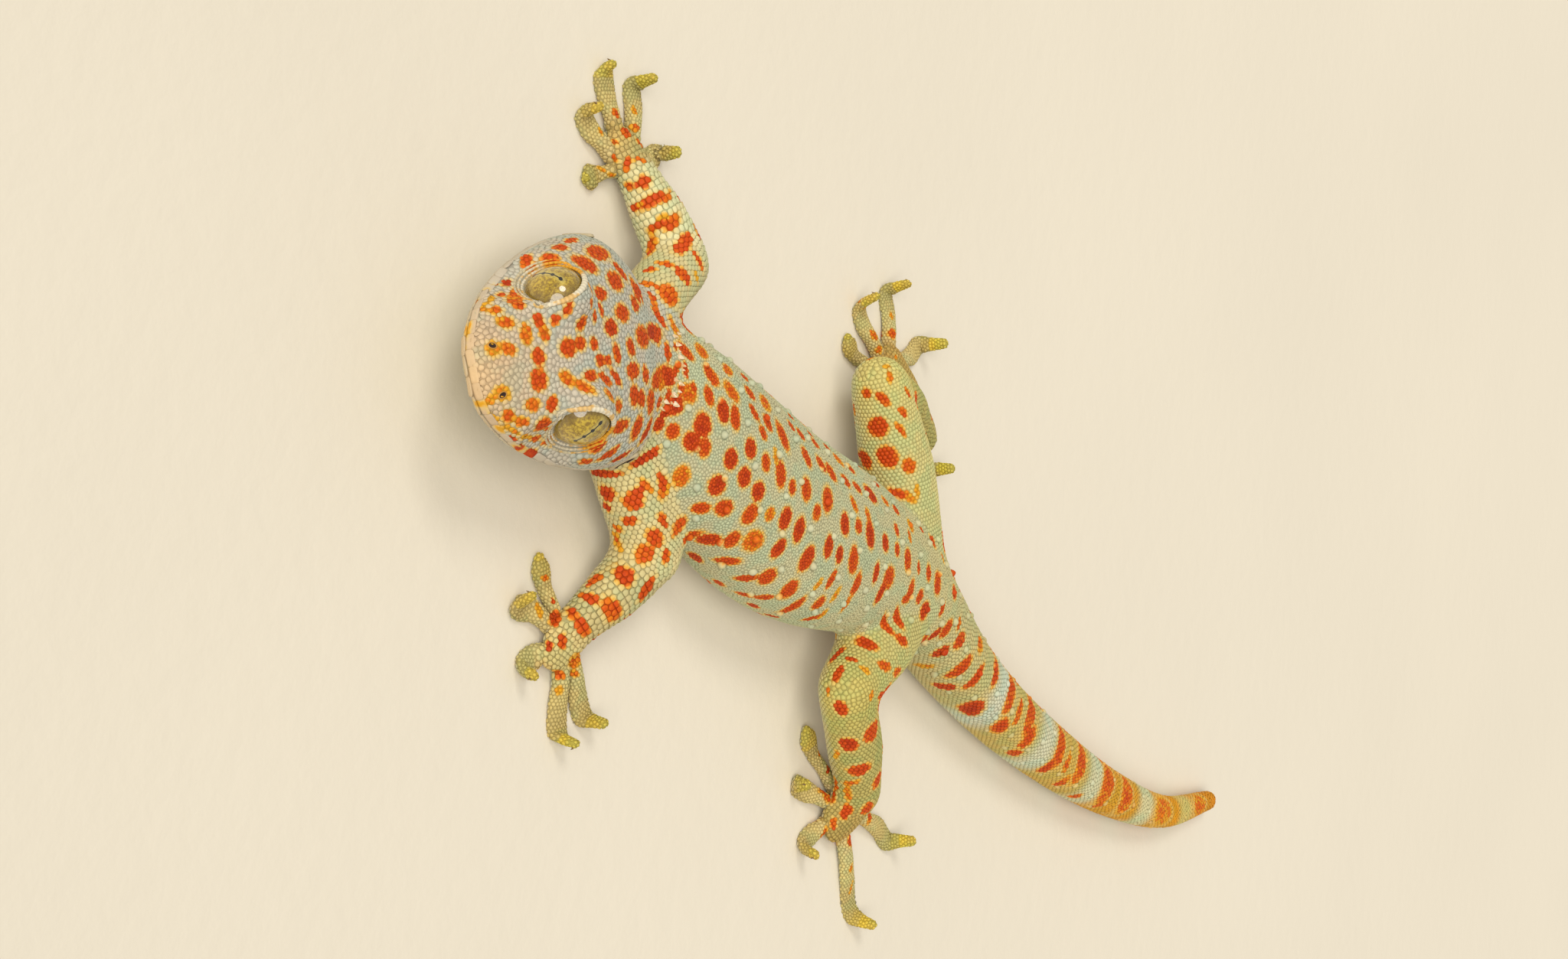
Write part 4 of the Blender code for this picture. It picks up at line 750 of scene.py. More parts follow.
# Spots of the hands, the feet and the left knee: the height above the floor at which the photograph's line of sight
# passes x and y, half length, half width, the long side's angle from X in degrees, and tint.
SEEN_SPOTS = (
    (3, 38.3, 2.8, 1.0, 0.85, 0, 2), (3, 36.6, 6.3, 1.1, 0.65, 60, 2), (3, 37.8, 9.2, 1.6, 0.8, 60, 2),
    (3, 39.1, 12.0, 0.9, 0.6, 40, 1), (3, 41.0, 5.5, 1.1, 0.7, 20, 2), (3, 42.4, 3.0, 0.8, 0.5, 20, 3),
    (3, 42.7, 8.8, 1.5, 1.2, 80, 1), (3, 45.6, 6.4, 0.8, 0.6, 100, 1.6), (3, 44.6, 9.7, 0.7, 0.5, 100, 1),
    (3, 47.7, 7.2, 0.6, 0.6, 0, 0), (3, 33.6, -1.0, 0.9, 0.4, 106, 1), (3, 35.6, 2.3, 0.5, 0.3, 20, 2),
    (3, 38.3, -0.8, 1.1, 0.45, 30, 0), (3, -34.0, -4.8, 1.0, 0.9, 0, 2), (3, -35.7, -3.0, 0.8, 0.65, 100, 1),
    (3, -38.0, -4.0, 0.7, 0.45, 20, 0), (3, -34.0, -1.5, 0.8, 0.6, 60, 1.6), (3, -35.7, -7.9, 0.8, 0.6, 60, 1.6),
    (3, -31.6, -6.5, 0.75, 0.4, 80, 1.6), (3, -31.5, -10.2, 0.6, 0.4, 20, 0), (3, -29.7, -2.9, 1.1, 0.55, 0, 1.6),
    (3, -31.6, -0.5, 1.0, 0.35, 100, 1), (3, -29.2, -6.2, 0.6, 0.35, 60, 1), (3, -27.6, -7.8, 0.6, 0.35, 70, 0),
    (3, -26.6, -6.0, 0.8, 0.35, 110, 0), (3, 48.3, 87.2, 1.2, 0.75, 25, 2.4), (3, 46.8, 94.9, 1.5, 0.8, 15, 1.7),
    (3, 50.6, 84.3, 1.1, 0.65, 35, 1.7), (3, 52.9, 81.9, 1.2, 0.55, 15, 1.2), (3, 51.9, 91.4, 1.1, 0.95, 0, 2.2),
    (3, 46.3, 79.6, 1.3, 0.45, 30, 1.8), (3, 46.1, 82.9, 1.4, 0.45, 25, 1.2), (3, 42.5, 79.7, 0.7, 0.4, 10, 3),
    (3, 56.7, 92.1, 0.8, 0.5, 20, 0.4), (3, 60.0, 93.2, 1.3, 0.35, 15, 0), (3, 40.5, 76.0, 0.7, 0.4, 0, 0.4),
    (3, -27.6, 69.9, 1.1, 0.6, 80, 1), (3, -30.2, 72.0, 0.8, 0.7, 0, 0.4), (3, -31.9, 69.6, 1.0, 0.8, 60, 0.8),
    (3, -34.4, 75.3, 0.85, 0.85, 0, 1.3), (3, -37.2, 73.7, 0.7, 0.5, 20, 0.3), (3, -28.3, 75.4, 0.7, 0.5, 80, 0.3),
    (3, -27.0, 76.8, 1.1, 0.55, 20, 0.8), (3, -31.0, 77.5, 0.6, 0.4, 20, 0.4), (3, -34.5, 67.3, 0.6, 0.4, 20, 0),
    (14, 30.4, 60.6, 1.6, 0.75, 118, 2.2), (14, 35.5, 63.2, 1.5, 1.1, 65, 2.7), (14, 31.2, 71.6, 0.8, 0.45, 20, 0.3),
    (14, 33.8, 58.7, 0.7, 0.35, 10, 0.5), (13.3, 3.4, -31.2, 1.9, 0.6, 175, 1.4), (14.1, -0.3, -29.7, 2.4, 0.6, 149, 1.2),
)


def kind_of(name):
    """The kind of a form: a digit's name ends in its number, and others in their side."""
    if name[-1].isdigit():
        return "digit"
    return name.removesuffix("_left").removesuffix("_right")


class Chart:
    """Samples along every form's axis, which tell a point of the skin its form, its place on it and its colour.

    A point belongs to the sample with the least distance / reach, and the samples' colours weigh
    exp(-25 * (distance / reach, less the least)).
    """

    def __init__(self, forms):
        self.names = list(forms)
        parts = []
        for number, (name, form) in enumerate(forms.items()):
            share = np.linspace(0.0, 1.0, max(5, int(form.length / 1.5)))
            along = share * form.length
            top, low, side = (form.at(along, np.full(len(along), turn)) for turn in (0.5 * np.pi, -0.5 * np.pi, 0.0))
            middle = 0.5 * (top + low)
            reach = 0.5 * np.linalg.norm(side - middle, axis=1) + 0.25 * np.linalg.norm(top - low, axis=1)
            stops = GROUND.get(name, GROUND[kind_of(name)])
            where = along if name == "spine" else share
            colours = [np.interp(where, [s for s, _ in stops], [linear(c)[k] for _, c in stops]) for k in range(3)]
            colours[2] = colours[2] * BLUE_KEPT[kind_of(name)]
            ahead = np.gradient(middle, axis=0)
            ahead /= np.linalg.norm(ahead, axis=1)[:, None]
            left = side - middle
            left /= np.linalg.norm(left, axis=1)[:, None]
            columns = [middle, reach[:, None], np.stack(colours, 1), ahead, left, share[:, None]]
            parts.append(np.concatenate([*columns, np.full((len(share), 1), number)], axis=1))
        rows = np.concatenate(parts)
        self.places, self.reaches, self.colours = rows[:, :3], rows[:, 3], rows[:, 4:7]
        self.ahead, self.left, self.share, self.form = rows[:, 7:10], rows[:, 10:13], rows[:, 13], rows[:, 14].astype(int)

    def read(self, points, normals):
        """Colour of the skin between the spots, paler underneath, and the sample each point belongs to."""
        colours = np.empty((len(points), 3))
        nearest = np.empty(len(points), int)
        for start in range(0, len(points), 8000):
            part = slice(start, start + 8000)
            away = np.linalg.norm(points[part, None, :] - self.places[None], axis=2) / self.reaches
            nearest[part] = away.argmin(axis=1)
            weight = np.exp(-25 * (away - away.min(axis=1)[:, None]))
            colours[part] = weight @ self.colours / weight.sum(axis=1)[:, None]
        under = np.clip(-0.25 - normals[:, 2], 0, 0.75)[:, None] / 0.75
        return colours + under * (linear(UNDERSIDE) - colours), nearest

    def turns(self, points, nearest):
        """How far round its form each point lies, as a share of a whole turn."""
        offset = points - self.places[nearest]
        up = np.cross(self.ahead[nearest], self.left[nearest])
        angle = np.arctan2((offset * up).sum(axis=1), (offset * self.left[nearest]).sum(axis=1))
        return np.mod(angle / (2 * np.pi), 1.0)


class Spots:
    """Spots on the skin: a middle, two axes in the skin with half sizes, and a tint.

    A point's place in a spot is the square root of (a/half length)^2 + (b/half width)^2 + (c/half depth)^2.
    """

    def __init__(self):
        self.rows = []

    def add(self, middle, along, normal, half_along, half_across, tint, half_deep=3.0):
        along = np.asarray(along, float)
        normal = np.asarray(normal, float)
        along = along - along.dot(normal) * normal
        along /= np.linalg.norm(along)
        across = np.cross(normal, along)
        self.rows.append((*middle, *(along / half_along), *(across / half_across), *(normal / half_deep), tint))

    def nearest(self, points, count):
        """Numbers of the spots in which each point lies nearest to the middle."""
        rows = np.array(self.rows)
        found = np.empty((len(points), count), int)
        for start in range(0, len(points), 4000):
            part = slice(start, start + 4000)
            offset = points[part, None, :] - rows[None, :, :3]
            scaled = np.einsum("nsk,sjk->nsj", offset, rows[:, 3:12].reshape(-1, 3, 3))
            found[part] = np.argpartition((scaled**2).sum(axis=2), count, axis=1)[:, :count]
        return found

    def read(self, points, found):
        """How far each point is from its nearest spot, in spot radii, and that spot's tint, out of those found."""
        rows = np.array(self.rows)[found]
        offset = points[:, None, :] - rows[..., :3]
        scaled = np.einsum("nsk,nsjk->nsj", offset, rows[..., 3:12].reshape(*found.shape, 3, 3))
        away = np.sqrt((scaled**2).sum(axis=2))
        best = away.argmin(axis=1)
        row = np.arange(len(points))
        return away[row, best], rows[row, best, 12] / 3.0


def skin_tree():
    """A tree of the skin's triangles for finding the nearest point, in metres."""
    mesh = bpy.data.objects["skin"].data
    points = points_of(bpy.data.objects["skin"])
    return BVHTree.FromPolygons(points.tolist(), triangles_of(mesh).tolist(), all_triangles=True)


def triangles_of(mesh):
    mesh.calc_loop_triangles()
    corners = np.empty(len(mesh.loop_triangles) * 3, np.int32)
    mesh.loop_triangles.foreach_get("vertices", corners)
    return corners.reshape(-1, 3)


def onto_skin(tree, points):
    """Nearest places on the skin, its normals there and the distances, all in millimetres."""
    found = [tree.find_nearest(point) for point in to_metres(points).tolist()]
    places = np.array([row[0][:] for row in found])
    normals = np.array([row[1][:] for row in found])
    return to_millimetres(places), normals, np.array([row[3] for row in found]) / MM


def put_spots(spots, form, rows):
    """Turns places on a form into spots of the skin, which spread a little across their long side."""
    longer, wider = SPOT_SPREAD.get(form.name, (1.0, 1.1))
    for along, turn, half_along, half_across, tilt, tint in rows:
        on_tail = form.name == "spine" and along > RUMP_AT - 4
        half_along *= longer
        half_across *= wider + (0.2 if on_tail else 0.0)
        turn = math.radians(turn)
        tilt = math.radians(tilt)
        middle, ahead, beside = form.at(np.array([along, along + 0.3, along]), np.array([turn, turn, turn + 0.05]))
        way = ahead - middle
        side = beside - middle
        way /= np.linalg.norm(way)
        normal = np.cross(way, side)
        normal /= np.linalg.norm(normal)
        side = np.cross(normal, way)
        long = math.cos(tilt) * way + math.sin(tilt) * side
        spots.add(middle, long, normal, half_along, half_across, tint, 6.0 if on_tail and along > 125 else 3.0)


def scatter(form, first, last, step, size, aspect, tint, random):
    """Spots in staggered rows over the part of a form's back and sides that the photograph doesn't show."""
    eye = camera_place()
    rows = []
    for number, along in enumerate(np.arange(first, last, step)):
        turns = np.radians(np.arange(-25.0, 205.0, 30.0) + 15.0 * (number % 2))
        for turn in turns + random.uniform(-0.12, 0.12, len(turns)):
            middle, ahead, beside = form.at(np.array([along, along + 0.3, along]), np.array([turn, turn, turn + 0.05]))
            outward = np.cross(ahead - middle, beside - middle)
            outward *= np.sign(outward @ (middle - form.at(np.array([along]), np.array([turn + np.pi]))[0]))
            if outward @ (eye - middle) > 0:
                continue
            scale = size * random.uniform(0.75, 1.2)
            tilt = random.uniform(20, 90)
            rows.append((along, math.degrees(turn), scale * aspect, scale / aspect, tilt, tint))
    return rows


def body_spots(forms, tree):
    """All the markings: those read from the photograph, and scattered ones on the sides that it doesn't show."""
    random = np.random.default_rng(7)
    spots = Spots()
    for name, rows in SPOTS.items():
        put_spots(spots, forms[name], rows)
    eye = camera_place()
    for level, x, y, half_along, half_across, angle, tint in SEEN_SPOTS:
        way = np.array([x, y, level]) - eye
        start = to_metres(eye)
        place, normal, _, _ = tree.ray_cast(start.tolist(), (way / np.linalg.norm(way)).tolist())
        if place is None:
            place, normal, _, _ = tree.find_nearest(to_metres((x, y, level)).tolist())
        angle = math.radians(angle)
        along = (math.cos(angle), math.sin(angle), 0.0)
        spots.add(to_millimetres(place), along, normal, half_along, half_across, tint)
    put_spots(spots, forms["spine"], scatter(forms["spine"], 4.0, 116.0, 5.4, 1.15, 1.25, 2, random))
    put_spots(spots, forms["spine"], scatter(forms["spine"], 120.0, 200.0, 6.4, 1.2, 1.4, 1, random))
    for name, form in forms.items():
        if kind_of(name) in ("upper_arm", "forearm", "thigh", "shin"):
            put_spots(spots, form, scatter(form, 3.0, form.length, 5.6, 1.1, 1.25, 2, random))
    return spots


# Materials


class Link:
    """A node's output that takes part in arithmetic: each operator adds one Math node."""

    def __init__(self, finish, socket):
        self.finish = finish
        self.socket = socket

    def math(self, operation, first, second=0.0, third=0.0):
        inputs = {0: first, 1: second, 2: third}
        return self.finish.node("ShaderNodeMath", {"operation": operation}, inputs)

    def __add__(self, other):
        return self.math("ADD", self, other)

    def __radd__(self, other):
        return self.math("ADD", other, self)

    def __sub__(self, other):
        return self.math("SUBTRACT", self, other)

    def __rsub__(self, other):
        return self.math("SUBTRACT", other, self)

    def __mul__(self, other):
        return self.math("MULTIPLY", self, other)

    def __rmul__(self, other):
        return self.math("MULTIPLY", other, self)

    def __truediv__(self, other):
        return self.math("DIVIDE", self, other)

    def __pow__(self, other):
        return self.math("POWER", self, other)

    def abs(self):
        return self.math("ABSOLUTE", self)

    def smaller(self, other):
        return self.math("MINIMUM", self, other)

    def larger(self, other):
        return self.math("MAXIMUM", self, other)

    def step(self, low, high):
        """0 below low and 1 above high, with a smooth rise between; low may be the larger for a fall."""
        settings = {"interpolation_type": "SMOOTHSTEP"}
        inputs = {"Value": self, "From Min": low, "From Max": high, "To Min": 0.0, "To Max": 1.0}
        if low > high:
            inputs.update({"From Min": high, "From Max": low, "To Min": 1.0, "To Max": 0.0})
        return self.finish.node("ShaderNodeMapRange", settings, inputs)


class Finish:
    """A material under construction: a Principled shader and the nodes that feed it."""

    def __init__(self, name, **constants):
        self.material = bpy.data.materials.new(name)
        self.material.use_nodes = True
        self.tree = self.material.node_tree
        self.shader = self.tree.nodes["Principled BSDF"]
        for socket, value in constants.items():
            self.shader.inputs[socket.replace("_", " ")].default_value = value

    def node(self, kind, settings=None, inputs=None, output=0):
        """A node of a kind: its settings are set first, then each input gets a value or a link."""
        made = self.tree.nodes.new(kind)
        for key, value in (settings or {}).items():
            setattr(made, key, value)
        for key, value in (inputs or {}).items():
            if isinstance(value, Link):
                self.tree.links.new(value.socket, made.inputs[key])
            else:
                made.inputs[key].default_value = value
        return Link(self, made.outputs[output])

    def attribute(self, name, output="Fac"):
        return self.node("ShaderNodeAttribute", {"attribute_name": name}, output=output)

    def places(self):
        return self.node("ShaderNodeTexCoord", output="Object")

    def noise(self, scale, detail=2.0, roughness=0.5, output="Factor"):
        """Cloudy noise on Object coordinates: scale is how many clouds to the metre."""
        inputs = {"Vector": self.places(), "Scale": scale, "Detail": detail, "Roughness": roughness}
        made = self.node("ShaderNodeTexNoise", None, inputs)
        return made if output == "Factor" else Link(self, made.socket.node.outputs[output])

    def mix(self, first, second, share, blend="MIX"):
        """A colour between two, or one laid on another, by a share."""
        inputs = {0: share, 6: self.colour(first), 7: self.colour(second)}
        settings = {"data_type": "RGBA", "blend_type": blend}
        return self.node("ShaderNodeMix", settings, inputs, output=2)

    def colour(self, value):
        """A colour for a socket: a link as it is, and three numbers with full alpha added."""
        if isinstance(value, Link):
            return value
        return (*value, 1.0)

    def shade(self, colour, value):
        """A colour made darker or lighter by a factor."""
        inputs = {0: colour, "Scale": value}
        return self.node("ShaderNodeVectorMath", {"operation": "SCALE"}, inputs)

    def feed(self, socket, value):
        self.tree.links.new(value.socket, self.shader.inputs[socket])

    def bump(self, height, depth, strength=1.0):
        inputs = {"Height": height, "Distance": depth, "Strength": strength}
        self.feed("Normal", self.node("ShaderNodeBump", None, inputs))


def hide_finish(name, scales, cool_share=1.0):
    """The gecko's hide: mottled ground, halo and granular core of the spots, and painted shade between the scales: each
    scale darker at its foot, and the bare skin darker all over.
    """
    look = bpy.context.scene.gecko_markings
    finish = Finish(name, Metallic=0.0, IOR=1.42, Specular_IOR_Level=0.22)
    ground = finish.attribute("ground", "Color")
    spot = finish.attribute("spot")
    dark = finish.attribute("dark")
    speck = finish.noise(2200.0, 3.0, 0.6)
    cloud = finish.noise(260.0, 3.0)
    wide = finish.noise(90.0, 2.0)
    edge = spot + (speck - 0.5) * 0.34 + (cloud - 0.5) * 0.25
    cool = finish.mix(ground, finish.mix(ground, tuple(look.cool), 1.0, "MULTIPLY"), cloud.step(0.42, 0.60) * cool_share)
    base = finish.shade(cool, 0.66 + wide * 0.16 + cloud * 0.18 + speck * 0.16)
    tone = dark + (0.55 - edge) * 0.35 + (speck - 0.5) * 1.1
    core = finish.mix(tuple(look.ochre), tuple(look.orange), tone.step(-0.02, 0.33))
    core = finish.mix(core, tuple(look.red), tone.step(0.30, 0.72))
    core = finish.mix(core, tuple(look.dark_red), tone.step(0.90, 1.30))
    halo = finish.mix(base, tuple(look.halo), edge.step(1.60, 1.12) * 0.72)
    rim = finish.mix(halo, tuple(look.ochre), edge.step(1.22, 1.08) * 0.7)
    colour = finish.mix(rim, finish.shade(core, 0.92), edge.step(1.12, 0.94))
    if scales:
        # Painted shade: each scale darkens towards its foot, in the valleys between the scales.
        gap_shade = finish.attribute("gap_shade")
        colour = finish.shade(colour, 1.0 - gap_shade * look.painted_gap_shade)
        colour = finish.mix(colour, tuple(look.tubercle), finish.attribute("pale") * edge.step(0.95, 1.2) * 0.14)
        finish.feed("Roughness", 0.46 + gap_shade * 0.3 + speck * 0.12)
        finish.bump(speck, 0.00004, 0.5)
    else:
        # Painted shade: the bare skin, seen between and round the scales, is darkened as if it lay in shade.
        colour = finish.shade(colour, 0.66)
        pebble = finish.node(
            "ShaderNodeTexVoronoi", {"feature": "F1"}, {"Vector": finish.places(), "Scale": 1500.0}, output="Distance"
        )
        finish.feed("Roughness", 0.62 + speck * 0.2)
        finish.bump(1.0 - pebble, 0.00015, 0.7)
    finish.feed("Base Color", colour)
    return finish.material


def give(obj, material):
    obj.data.materials.clear()
    obj.data.materials.append(material)


# Settings


def scale_width(name, width, where):
    return FloatProperty(name=name, description="Width of a scale " + where, default=width, unit="LENGTH", precision=5)


def paint(name, colour, what):
    return FloatVectorProperty(name=name, description=what, subtype="COLOR", default=colour, min=0.0, max=1.0)


class GeckoSkinSettings(bpy.types.PropertyGroup):
    voxel: FloatProperty(
        name="Skin detail",
        description="Size of the cells in which the forms of the body are joined to one skin",
        default=0.0007,
        min=0.0003,
        unit="LENGTH",
        precision=5,
    )
    inset: FloatProperty(
        name="Scale depth",
        description="How far the skin lies inside the solids, to leave room for the scales",
        default=0.0002,
        min=0.0,
        unit="LENGTH",
        precision=5,
    )


class GeckoScaleSettings(bpy.types.PropertyGroup):
    head: scale_width("Head", 0.0007, "on the head")
    throat: scale_width("Throat", 0.001, "under the head")
    trunk: scale_width("Back", 0.0005, "on the back and sides")
    belly: scale_width("Belly", 0.0013, "under the trunk")
    tail: scale_width("Tail", 0.00088, "on the tail")
    upper_arm: scale_width("Upper arm", 0.00092, "on an upper arm")
    forearm: scale_width("Forearm", 0.00108, "on a forearm")
    hand: scale_width("Hand", 0.0009, "on a hand")
    thigh: scale_width("Thigh", 0.0008, "on a thigh")
    shin: scale_width("Shin", 0.00084, "on a shin")
    foot: scale_width("Foot", 0.0008, "on a foot")
    digits: scale_width("Digits", 0.00062, "on a digit")


class GeckoMarkingSettings(bpy.types.PropertyGroup):
    ochre: paint("Ochre", (0.86, 0.42, 0.020), "Middle of the palest spots and the rim of the others")
    orange: paint("Orange", (0.84, 0.19, 0.008), "Middle of the orange spots")
    red: paint("Red", (0.70, 0.080, 0.006), "Middle of the red spots")
    dark_red: paint("Dark red", (0.50, 0.040, 0.005), "Middle of the darkest spots")
    halo: paint("Halo", (0.80, 0.56, 0.16), "Pale yellow round a spot")
    cool: paint("Cool cast", (0.84, 0.96, 1.0), "What the cooler patches of the ground are multiplied by")
    tubercle: paint("Tubercles", (0.62, 0.70, 0.60), "Tips of the pale tubercles")
    # Painted shade: how much darker each scale gets towards its foot, in the valleys between the scales.
    painted_gap_shade: FloatProperty(
        name="Gap darkness", description="How much darker the skin between the scales is", default=0.5, min=0.0, max=1.0
    )


class GeckoStageSettings(bpy.types.PropertyGroup):
    floor: paint("Floor", (0.86, 0.78, 0.625), "Colour of the floor")
    front_strength: FloatProperty(
        name="Front light", description="Strength of the broad light from the camera's side", default=1.82, min=0.0
    )
    key_strength: FloatProperty(
        name="Key light", description="Strength of the light from the animal's right", default=0.71, min=0.0
    )
    fill: FloatProperty(name="Fill light", description="Strength of the even light all round", default=0.445, min=0.0)


# Operators


class GECKO_OT_skin(bpy.types.Operator):
    """One smooth skin over every form of the body, from the head to the tips of the toes"""

    bl_idname = "gecko.skin"
    bl_label = "Skin"

    def execute(self, context):
        settings = context.scene.gecko_skin
        forms = body_forms(settings.inset / MM)
        body = self.join_body(forms, settings)
        points = to_millimetres(points_of(body))
        points = self.smooth_joints(points, edges_of(body))
        points = self.seat_eyes(points)
        points[:, 2] = np.maximum(points[:, 2], 0.02)
        set_points(body, to_metres(points))
        self.add_digits(body, forms)
        self.paint(body, forms)
        body.data.shade_smooth()
        give(body, hide_finish("skin", scales=False))
        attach(body, "root")
        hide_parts(*FLESH_NODES)
        return {"FINISHED"}

    def join_body(self, forms, settings):
        """All forms but the digits as closed grids in one mesh, joined by a voxel remesh."""
        points, faces = [], []
        count = 0
        for name, form in forms.items():
            if kind_of(name) == "digit":
                continue
            sides = 72 if name in ("spine", "head") else 36
            grid = form.grid(0.8, sides)
            shape = closed_grid(grid)
            points.append(shape)
            faces.append(grid_faces(grid.shape[0], grid.shape[1], count))
            count += len(shape)
        for side in (1, -1):
            ball = self.ball(from_head(eyeball_middle(side)), EYE_BALL + 0.4)
            shape = closed_grid(ball)
            points.append(shape)
            faces.append(grid_faces(ball.shape[0], ball.shape[1], count))
            count += len(shape)
        body = put_mesh("skin", to_metres(np.concatenate(points)), np.concatenate(faces))
        remesh = body.modifiers.new("join", "REMESH")
        remesh.mode = "VOXEL"
        remesh.voxel_size = settings.voxel
        apply_modifiers(body)
        return body

    def ball(self, middle, radius):
        """A sphere as rings from pole to pole."""
        polar = np.linspace(0.08, np.pi - 0.08, 24)[::-1, None]
        turn = (np.arange(36) * 2 * np.pi / 36)[None, :]
        x = radius * np.sin(polar) * np.cos(turn)
        y = radius * np.sin(polar) * np.sin(turn)
        z = radius * np.cos(polar) + 0 * turn
        return middle + np.stack([x, y, z], axis=-1)

    def smooth_joints(self, points, edges):
        """Light smoothing all over, and more round the joints, where forms meet at an angle."""
        points = smoothed(points, edges, np.full(len(points), 0.5), 10)
        soft = np.zeros(len(points))
        joints = [(rows[0][:3], 8.0) for rows in LIMBS.values()]
        joints += [(rows[-1][:3], 6.5) for rows in LIMBS.values()]
        joints += [(rows[-1][:3], 4.5) for rows in PALMS.values()]
        for place, reach in joints:
            away = np.linalg.norm(points - np.array(place), axis=1)
            soft = np.maximum(soft, np.clip(2.0 - away / reach, 0.0, 1.0))
        for side in (1, -1):
            away = np.linalg.norm(points - from_head(eyeball_middle(side)), axis=1)
            soft = np.maximum(soft, 0.8 * np.clip(2.0 - away / (EYE_BALL + 0.8), 0.0, 1.0))
        return smoothed(points, edges, 0.5 * soft, 26, keep_size=False)

    def seat_eyes(self, points):
        """Pushes the skin back behind each eyeball inside the lids, and out of the eyeball all round them.

        The distance from the eye's axis tells the two apart: the opening's radius is the lid's edge. Round the
        opening the skin rises along the axis by little more than EYE_CLEARING times the distance from that edge:
        of what it rises beyond that, excess^2 / (excess + 0.3) goes.
        """
        for side in (1, -1):
            middle = from_head(eyeball_middle(side))
            outward = HEAD[:3, :3] @ eye_outward(side)
            ahead = (points - middle) @ outward
            beside = np.linalg.norm(points - middle - ahead[:, None] * outward, axis=1)
            excess = ahead - EYE_DEPTH - EYE_CLEARING * np.maximum(beside - EYE_OPENING, 0.0)
            excess = np.where(beside < EYE_OPENING + 5.0, np.maximum(excess, 0.0), 0.0)
            points = points - (excess**2 / (excess + 0.3))[:, None] * outward
            away = points - middle
            distance = np.linalg.norm(away, axis=1)
            inside = in_opening(points, side, 0.0)
            deep = np.where(inside, np.minimum(distance, EYE_BALL - 0.7), np.maximum(distance, EYE_BALL + 0.3))
            near = distance < EYE_BALL + 4
            wanted = np.where(near, deep, distance)
            points = middle + away * (wanted / np.maximum(distance, 1e-6))[:, None]
        return points

    def add_digits(self, body, forms):
        """The digits join the palms and soles by one union, so that the skin stays one closed surface."""
        group = bpy.data.collections.new("digits")
        bpy.context.scene.collection.children.link(group)
        made = []
        for name, form in forms.items():
            if kind_of(name) != "digit":
                continue
            grid = form.grid(0.35, 20)
            inwards = grid[5].mean(axis=0) - grid[6].mean(axis=0)
            grid[:5] += ROOT_REACH * inwards / np.linalg.norm(inwards)
            shape = closed_grid(grid)
            shape[:, 2] = np.maximum(shape[:, 2], 0.02)
            digit = put_mesh(name, to_metres(shape), grid_faces(grid.shape[0], grid.shape[1]))
            bpy.context.scene.collection.objects.unlink(digit)
            group.objects.link(digit)
            made.append(digit)
        union = body.modifiers.new("digits", "BOOLEAN")
        union.operation = "UNION"
        union.operand_type = "COLLECTION"
        union.collection = group
        union.solver = "MANIFOLD"
        apply_modifiers(body)
        for digit in made:
            bpy.data.objects.remove(digit, do_unlink=True)
        bpy.data.collections.remove(group)

    def paint(self, body, forms):
        """Ground colour, spots and the nearest sample of the chart at every point of the skin."""
        points = to_millimetres(points_of(body))
        normals = np.empty(len(points) * 3, np.float32)
        body.data.vertex_normals.foreach_get("vector", normals)
        ground, sample = Chart(forms).read(points, normals.reshape(-1, 3))
        spots = body_spots(forms, skin_tree())
        spot, dark = spots.read(points, spots.nearest(points, 3))
        set_colour(body.data, "ground", ground)
        set_float(body.data, "spot", spot)
        set_float(body.data, "dark", dark)
        set_float(body.data, "sample", sample)


def frames_at(normals, alongs):
    """Two directions in the skin at each place, the first as near as can be to the way along."""
    first = alongs - (alongs * normals).sum(axis=1)[:, None] * normals
    length = np.linalg.norm(first, axis=1)
    spare = np.cross(normals, [0.31, 0.2, 0.93])
    first = np.where(length[:, None] > 0.05, first, spare)
    first /= np.linalg.norm(first, axis=1)[:, None]
    return first, np.cross(normals, first)


# Rings of a scale from its foot to near its top: share of its outline, share of its height, and how much painted shade
# it takes, darkest at the foot between the scales.
GRANULE = ((0.985, -0.45, 0.9), (0.84, 0.62, 0.15))
FINE = ((0.985, -0.45, 0.6), (0.84, 0.62, 0.08))
CONE = ((0.98, -0.2, 0.5), (0.66, 0.5, 0.1), (0.28, 0.92, 0.0))
PLATE = ((0.99, -0.45, 1.0), (0.94, 0.5, 0.4), (0.70, 0.93, 0.0))

# Scales by group: height as a share of the width, lean towards the tail, sides, rings and slot.
COAT = {
    "head": (0.11, 0.0, 7, FINE, "head_skin"),
    "throat": (0.16, 0.0, 6, GRANULE, "jaw_skin"),
    "trunk": (0.16, 0.0, 6, FINE, "body_skin"),
    "belly": (0.12, 0.1, 7, GRANULE, "body_skin"),
    "tail": (0.18, 0.06, 7, GRANULE, "tail_skin"),
    "upper_arm": (0.16, 0.16, 8, PLATE, "limb_skin"),
    "forearm": (0.16, 0.16, 8, PLATE, "limb_skin"),
    "hand": (0.18, 0.14, 7, PLATE, "limb_skin"),
    "thigh": (0.18, 0.06, 7, FINE, "limb_skin"),
    "shin": (0.18, 0.06, 7, FINE, "limb_skin"),
    "foot": (0.18, 0.1, 7, FINE, "limb_skin"),
    "digits": (0.2, 0.1, 6, GRANULE, "toe_skin"),
    "tubercles": (0.25, 0.2, 8, CONE, "body_skin"),
}
MOST_TRIANGLES = 190000


